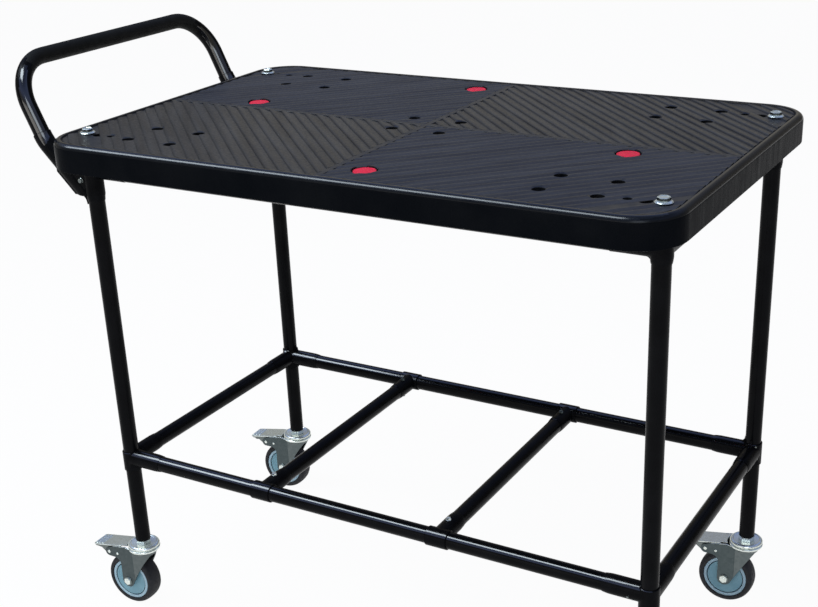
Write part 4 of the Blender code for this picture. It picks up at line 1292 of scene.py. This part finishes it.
def floor_material():
    """A pale floor, seen white with the cart's shadow left on it."""
    material = bpy.data.materials.new("floor")
    material.use_nodes = True
    tree = material.node_tree
    tree.nodes.clear()
    out = tree.nodes.new("ShaderNodeOutputMaterial")
    coords = tree.nodes.new("ShaderNodeTexCoord").outputs["Object"]
    stops = [(NOISE_LOW, (0.88, 0.88, 0.88)), (NOISE_HIGH, (0.92, 0.92, 0.92))]
    matt = node(tree, "BsdfDiffuse", {"Color": blend_colours(tree, noise(tree, coords, 3.0), stops)})
    glow = node(tree, "Emission", Color=(1, 1, 1, 1), Strength=1.0)
    seen = seen_by(tree, ("Is Camera Ray", "Is Glossy Ray", "Is Transmission Ray"))
    share = node(tree, "MapRange", {"Value": seen}, To_Max=WHITE_SHARE)
    mix = node(tree, "MixShader", {0: share.outputs["Result"], 1: matt.outputs[0], 2: glow.outputs[0]})
    tree.links.new(mix.outputs[0], out.inputs["Surface"])
    return material


def build_floor():
    mesh = bpy.data.meshes.new("floor")
    corners = ((-1, -1), (1, -1), (1, 1), (-1, 1))
    mesh.from_pydata([(x * FLOOR_HALF, y * FLOOR_HALF, 0) for x, y in corners], [], [(0, 1, 2, 3)])
    mesh.materials.append(floor_material())
    floor = add_object("floor", mesh)
    floor.location.z = FLOOR_HEIGHT


def vector_math(tree, operation, source, other=None):
    made = node(tree, "VectorMath", {0: source})
    made.operation = operation
    if other is not None:
        made.inputs[1].default_value = other
    return made.outputs


def build_world():
    """A bright warm wall straight ahead, dimmer ones to the sides and a cooler ceiling.

    The camera sees white above the floor instead; the room is what the cart reflects.
    """
    world = bpy.data.worlds.new("room")
    bpy.context.scene.world = world
    world.use_nodes = True
    tree = world.node_tree
    background = tree.nodes["Background"]
    coords = tree.nodes.new("ShaderNodeTexCoord").outputs["Generated"]
    height = node(tree, "SeparateXYZ", {"Vector": coords}).outputs["Z"]
    ceiling = [(0.62, (0.3, 0.38, 0.68)), (0.74, (0.24, 0.32, 0.62))]
    ceiling += [(0.88, (0.11, 0.15, 0.3)), (1.0, (0.12, 0.16, 0.3))]
    ahead = [(0.0, (0.4, 0.37, 0.3)), (0.25, (0.37, 0.345, 0.285)), (0.42, (0.3, 0.3, 0.32))]
    aside = [(0.0, (0.24, 0.225, 0.19)), (0.25, (0.225, 0.21, 0.185)), (0.42, (0.195, 0.2, 0.22))]
    flat = vector_math(tree, "MULTIPLY", coords, (1, 1, 0))[0]
    level = vector_math(tree, "NORMALIZE", flat)[0]
    toward = vector_math(tree, "DOT_PRODUCT", level, (-0.39, 0.92, 0))["Value"]
    share = node(tree, "MapRange", {"Value": toward}, From_Min=0.88, From_Max=0.985).outputs["Result"]
    walls = [blend_colours(tree, height, stops + ceiling) for stops in (aside, ahead)]
    room = node(tree, "MixRGB", {"Fac": share, "Color1": walls[0], "Color2": walls[1]}).outputs["Color"]
    seen = seen_by(tree, ("Is Camera Ray", "Is Transmission Ray"))
    shown = node(tree, "MixRGB", {"Fac": seen, "Color1": room}, Color2=SEEN_WHITE)
    tree.links.new(shown.outputs["Color"], background.inputs["Color"])
    background.inputs["Strength"].default_value = 1.0


def add_panel(name, spot, target, length, width, colour, strength):
    """A lamp panel that faces its target, with its length kept level along X."""
    lamp = bpy.data.lights.new(name, "AREA")
    lamp.shape = "RECTANGLE"
    lamp.size = length
    lamp.size_y = width
    lamp.color = colour
    lamp.energy = strength
    away = (Vector(spot) - Vector(target)).normalized()
    across = Vector((1, 0, 0))
    across = (across - away * across.dot(away)).normalized()
    item = add_object(name, lamp)
    item.matrix_world = axes_place(spot, across, away.cross(across), away)
    item.visible_camera = False


def build_lamps():
    add_panel("strip", (-1.3, -0.95, 3.4), (0.0, -0.2, 0.7), 3.0, 1.0, (0.82, 0.93, 1.0), 78)
    add_panel("window", (1.9, -2.95, 2.6), (-0.6, -0.25, 0.95), 1.6, 1.6, (0.8, 0.9, 1.0), 28)
    add_panel("fill", (0.2, -3.2, 1.0), (0.0, 0.0, 0.4), 4.0, 1.4, (1.0, 0.98, 0.95), 26)


def build_camera():
    """The photograph's camera, solved from the legs, rails and deck corners."""
    spot = (1.15176, -1.87606, 1.44983)
    azimuth, tilt, roll = math.radians(30.683), math.radians(23.439), math.radians(2.262)
    flat = math.cos(tilt)
    ahead = Vector((-math.sin(azimuth) * flat, math.cos(azimuth) * flat, -math.sin(tilt)))
    level = Vector((math.cos(azimuth), math.sin(azimuth), 0))
    right = level * math.cos(roll) + ahead.cross(level) * math.sin(roll)
    up = right.cross(ahead)
    data = bpy.data.cameras.new("camera")
    data.sensor_width = 36
    data.lens = 58.961
    data.shift_x = -0.0147
    data.shift_y = 0.0653
    data.clip_end = 200
    item = add_object("camera", data)
    item.matrix_world = axes_place(spot, right, up, -ahead)
    bpy.context.scene.camera = item


build_floor()
build_world()
build_lamps()
build_camera()
bpy.context.scene.view_settings.view_transform = "Standard"
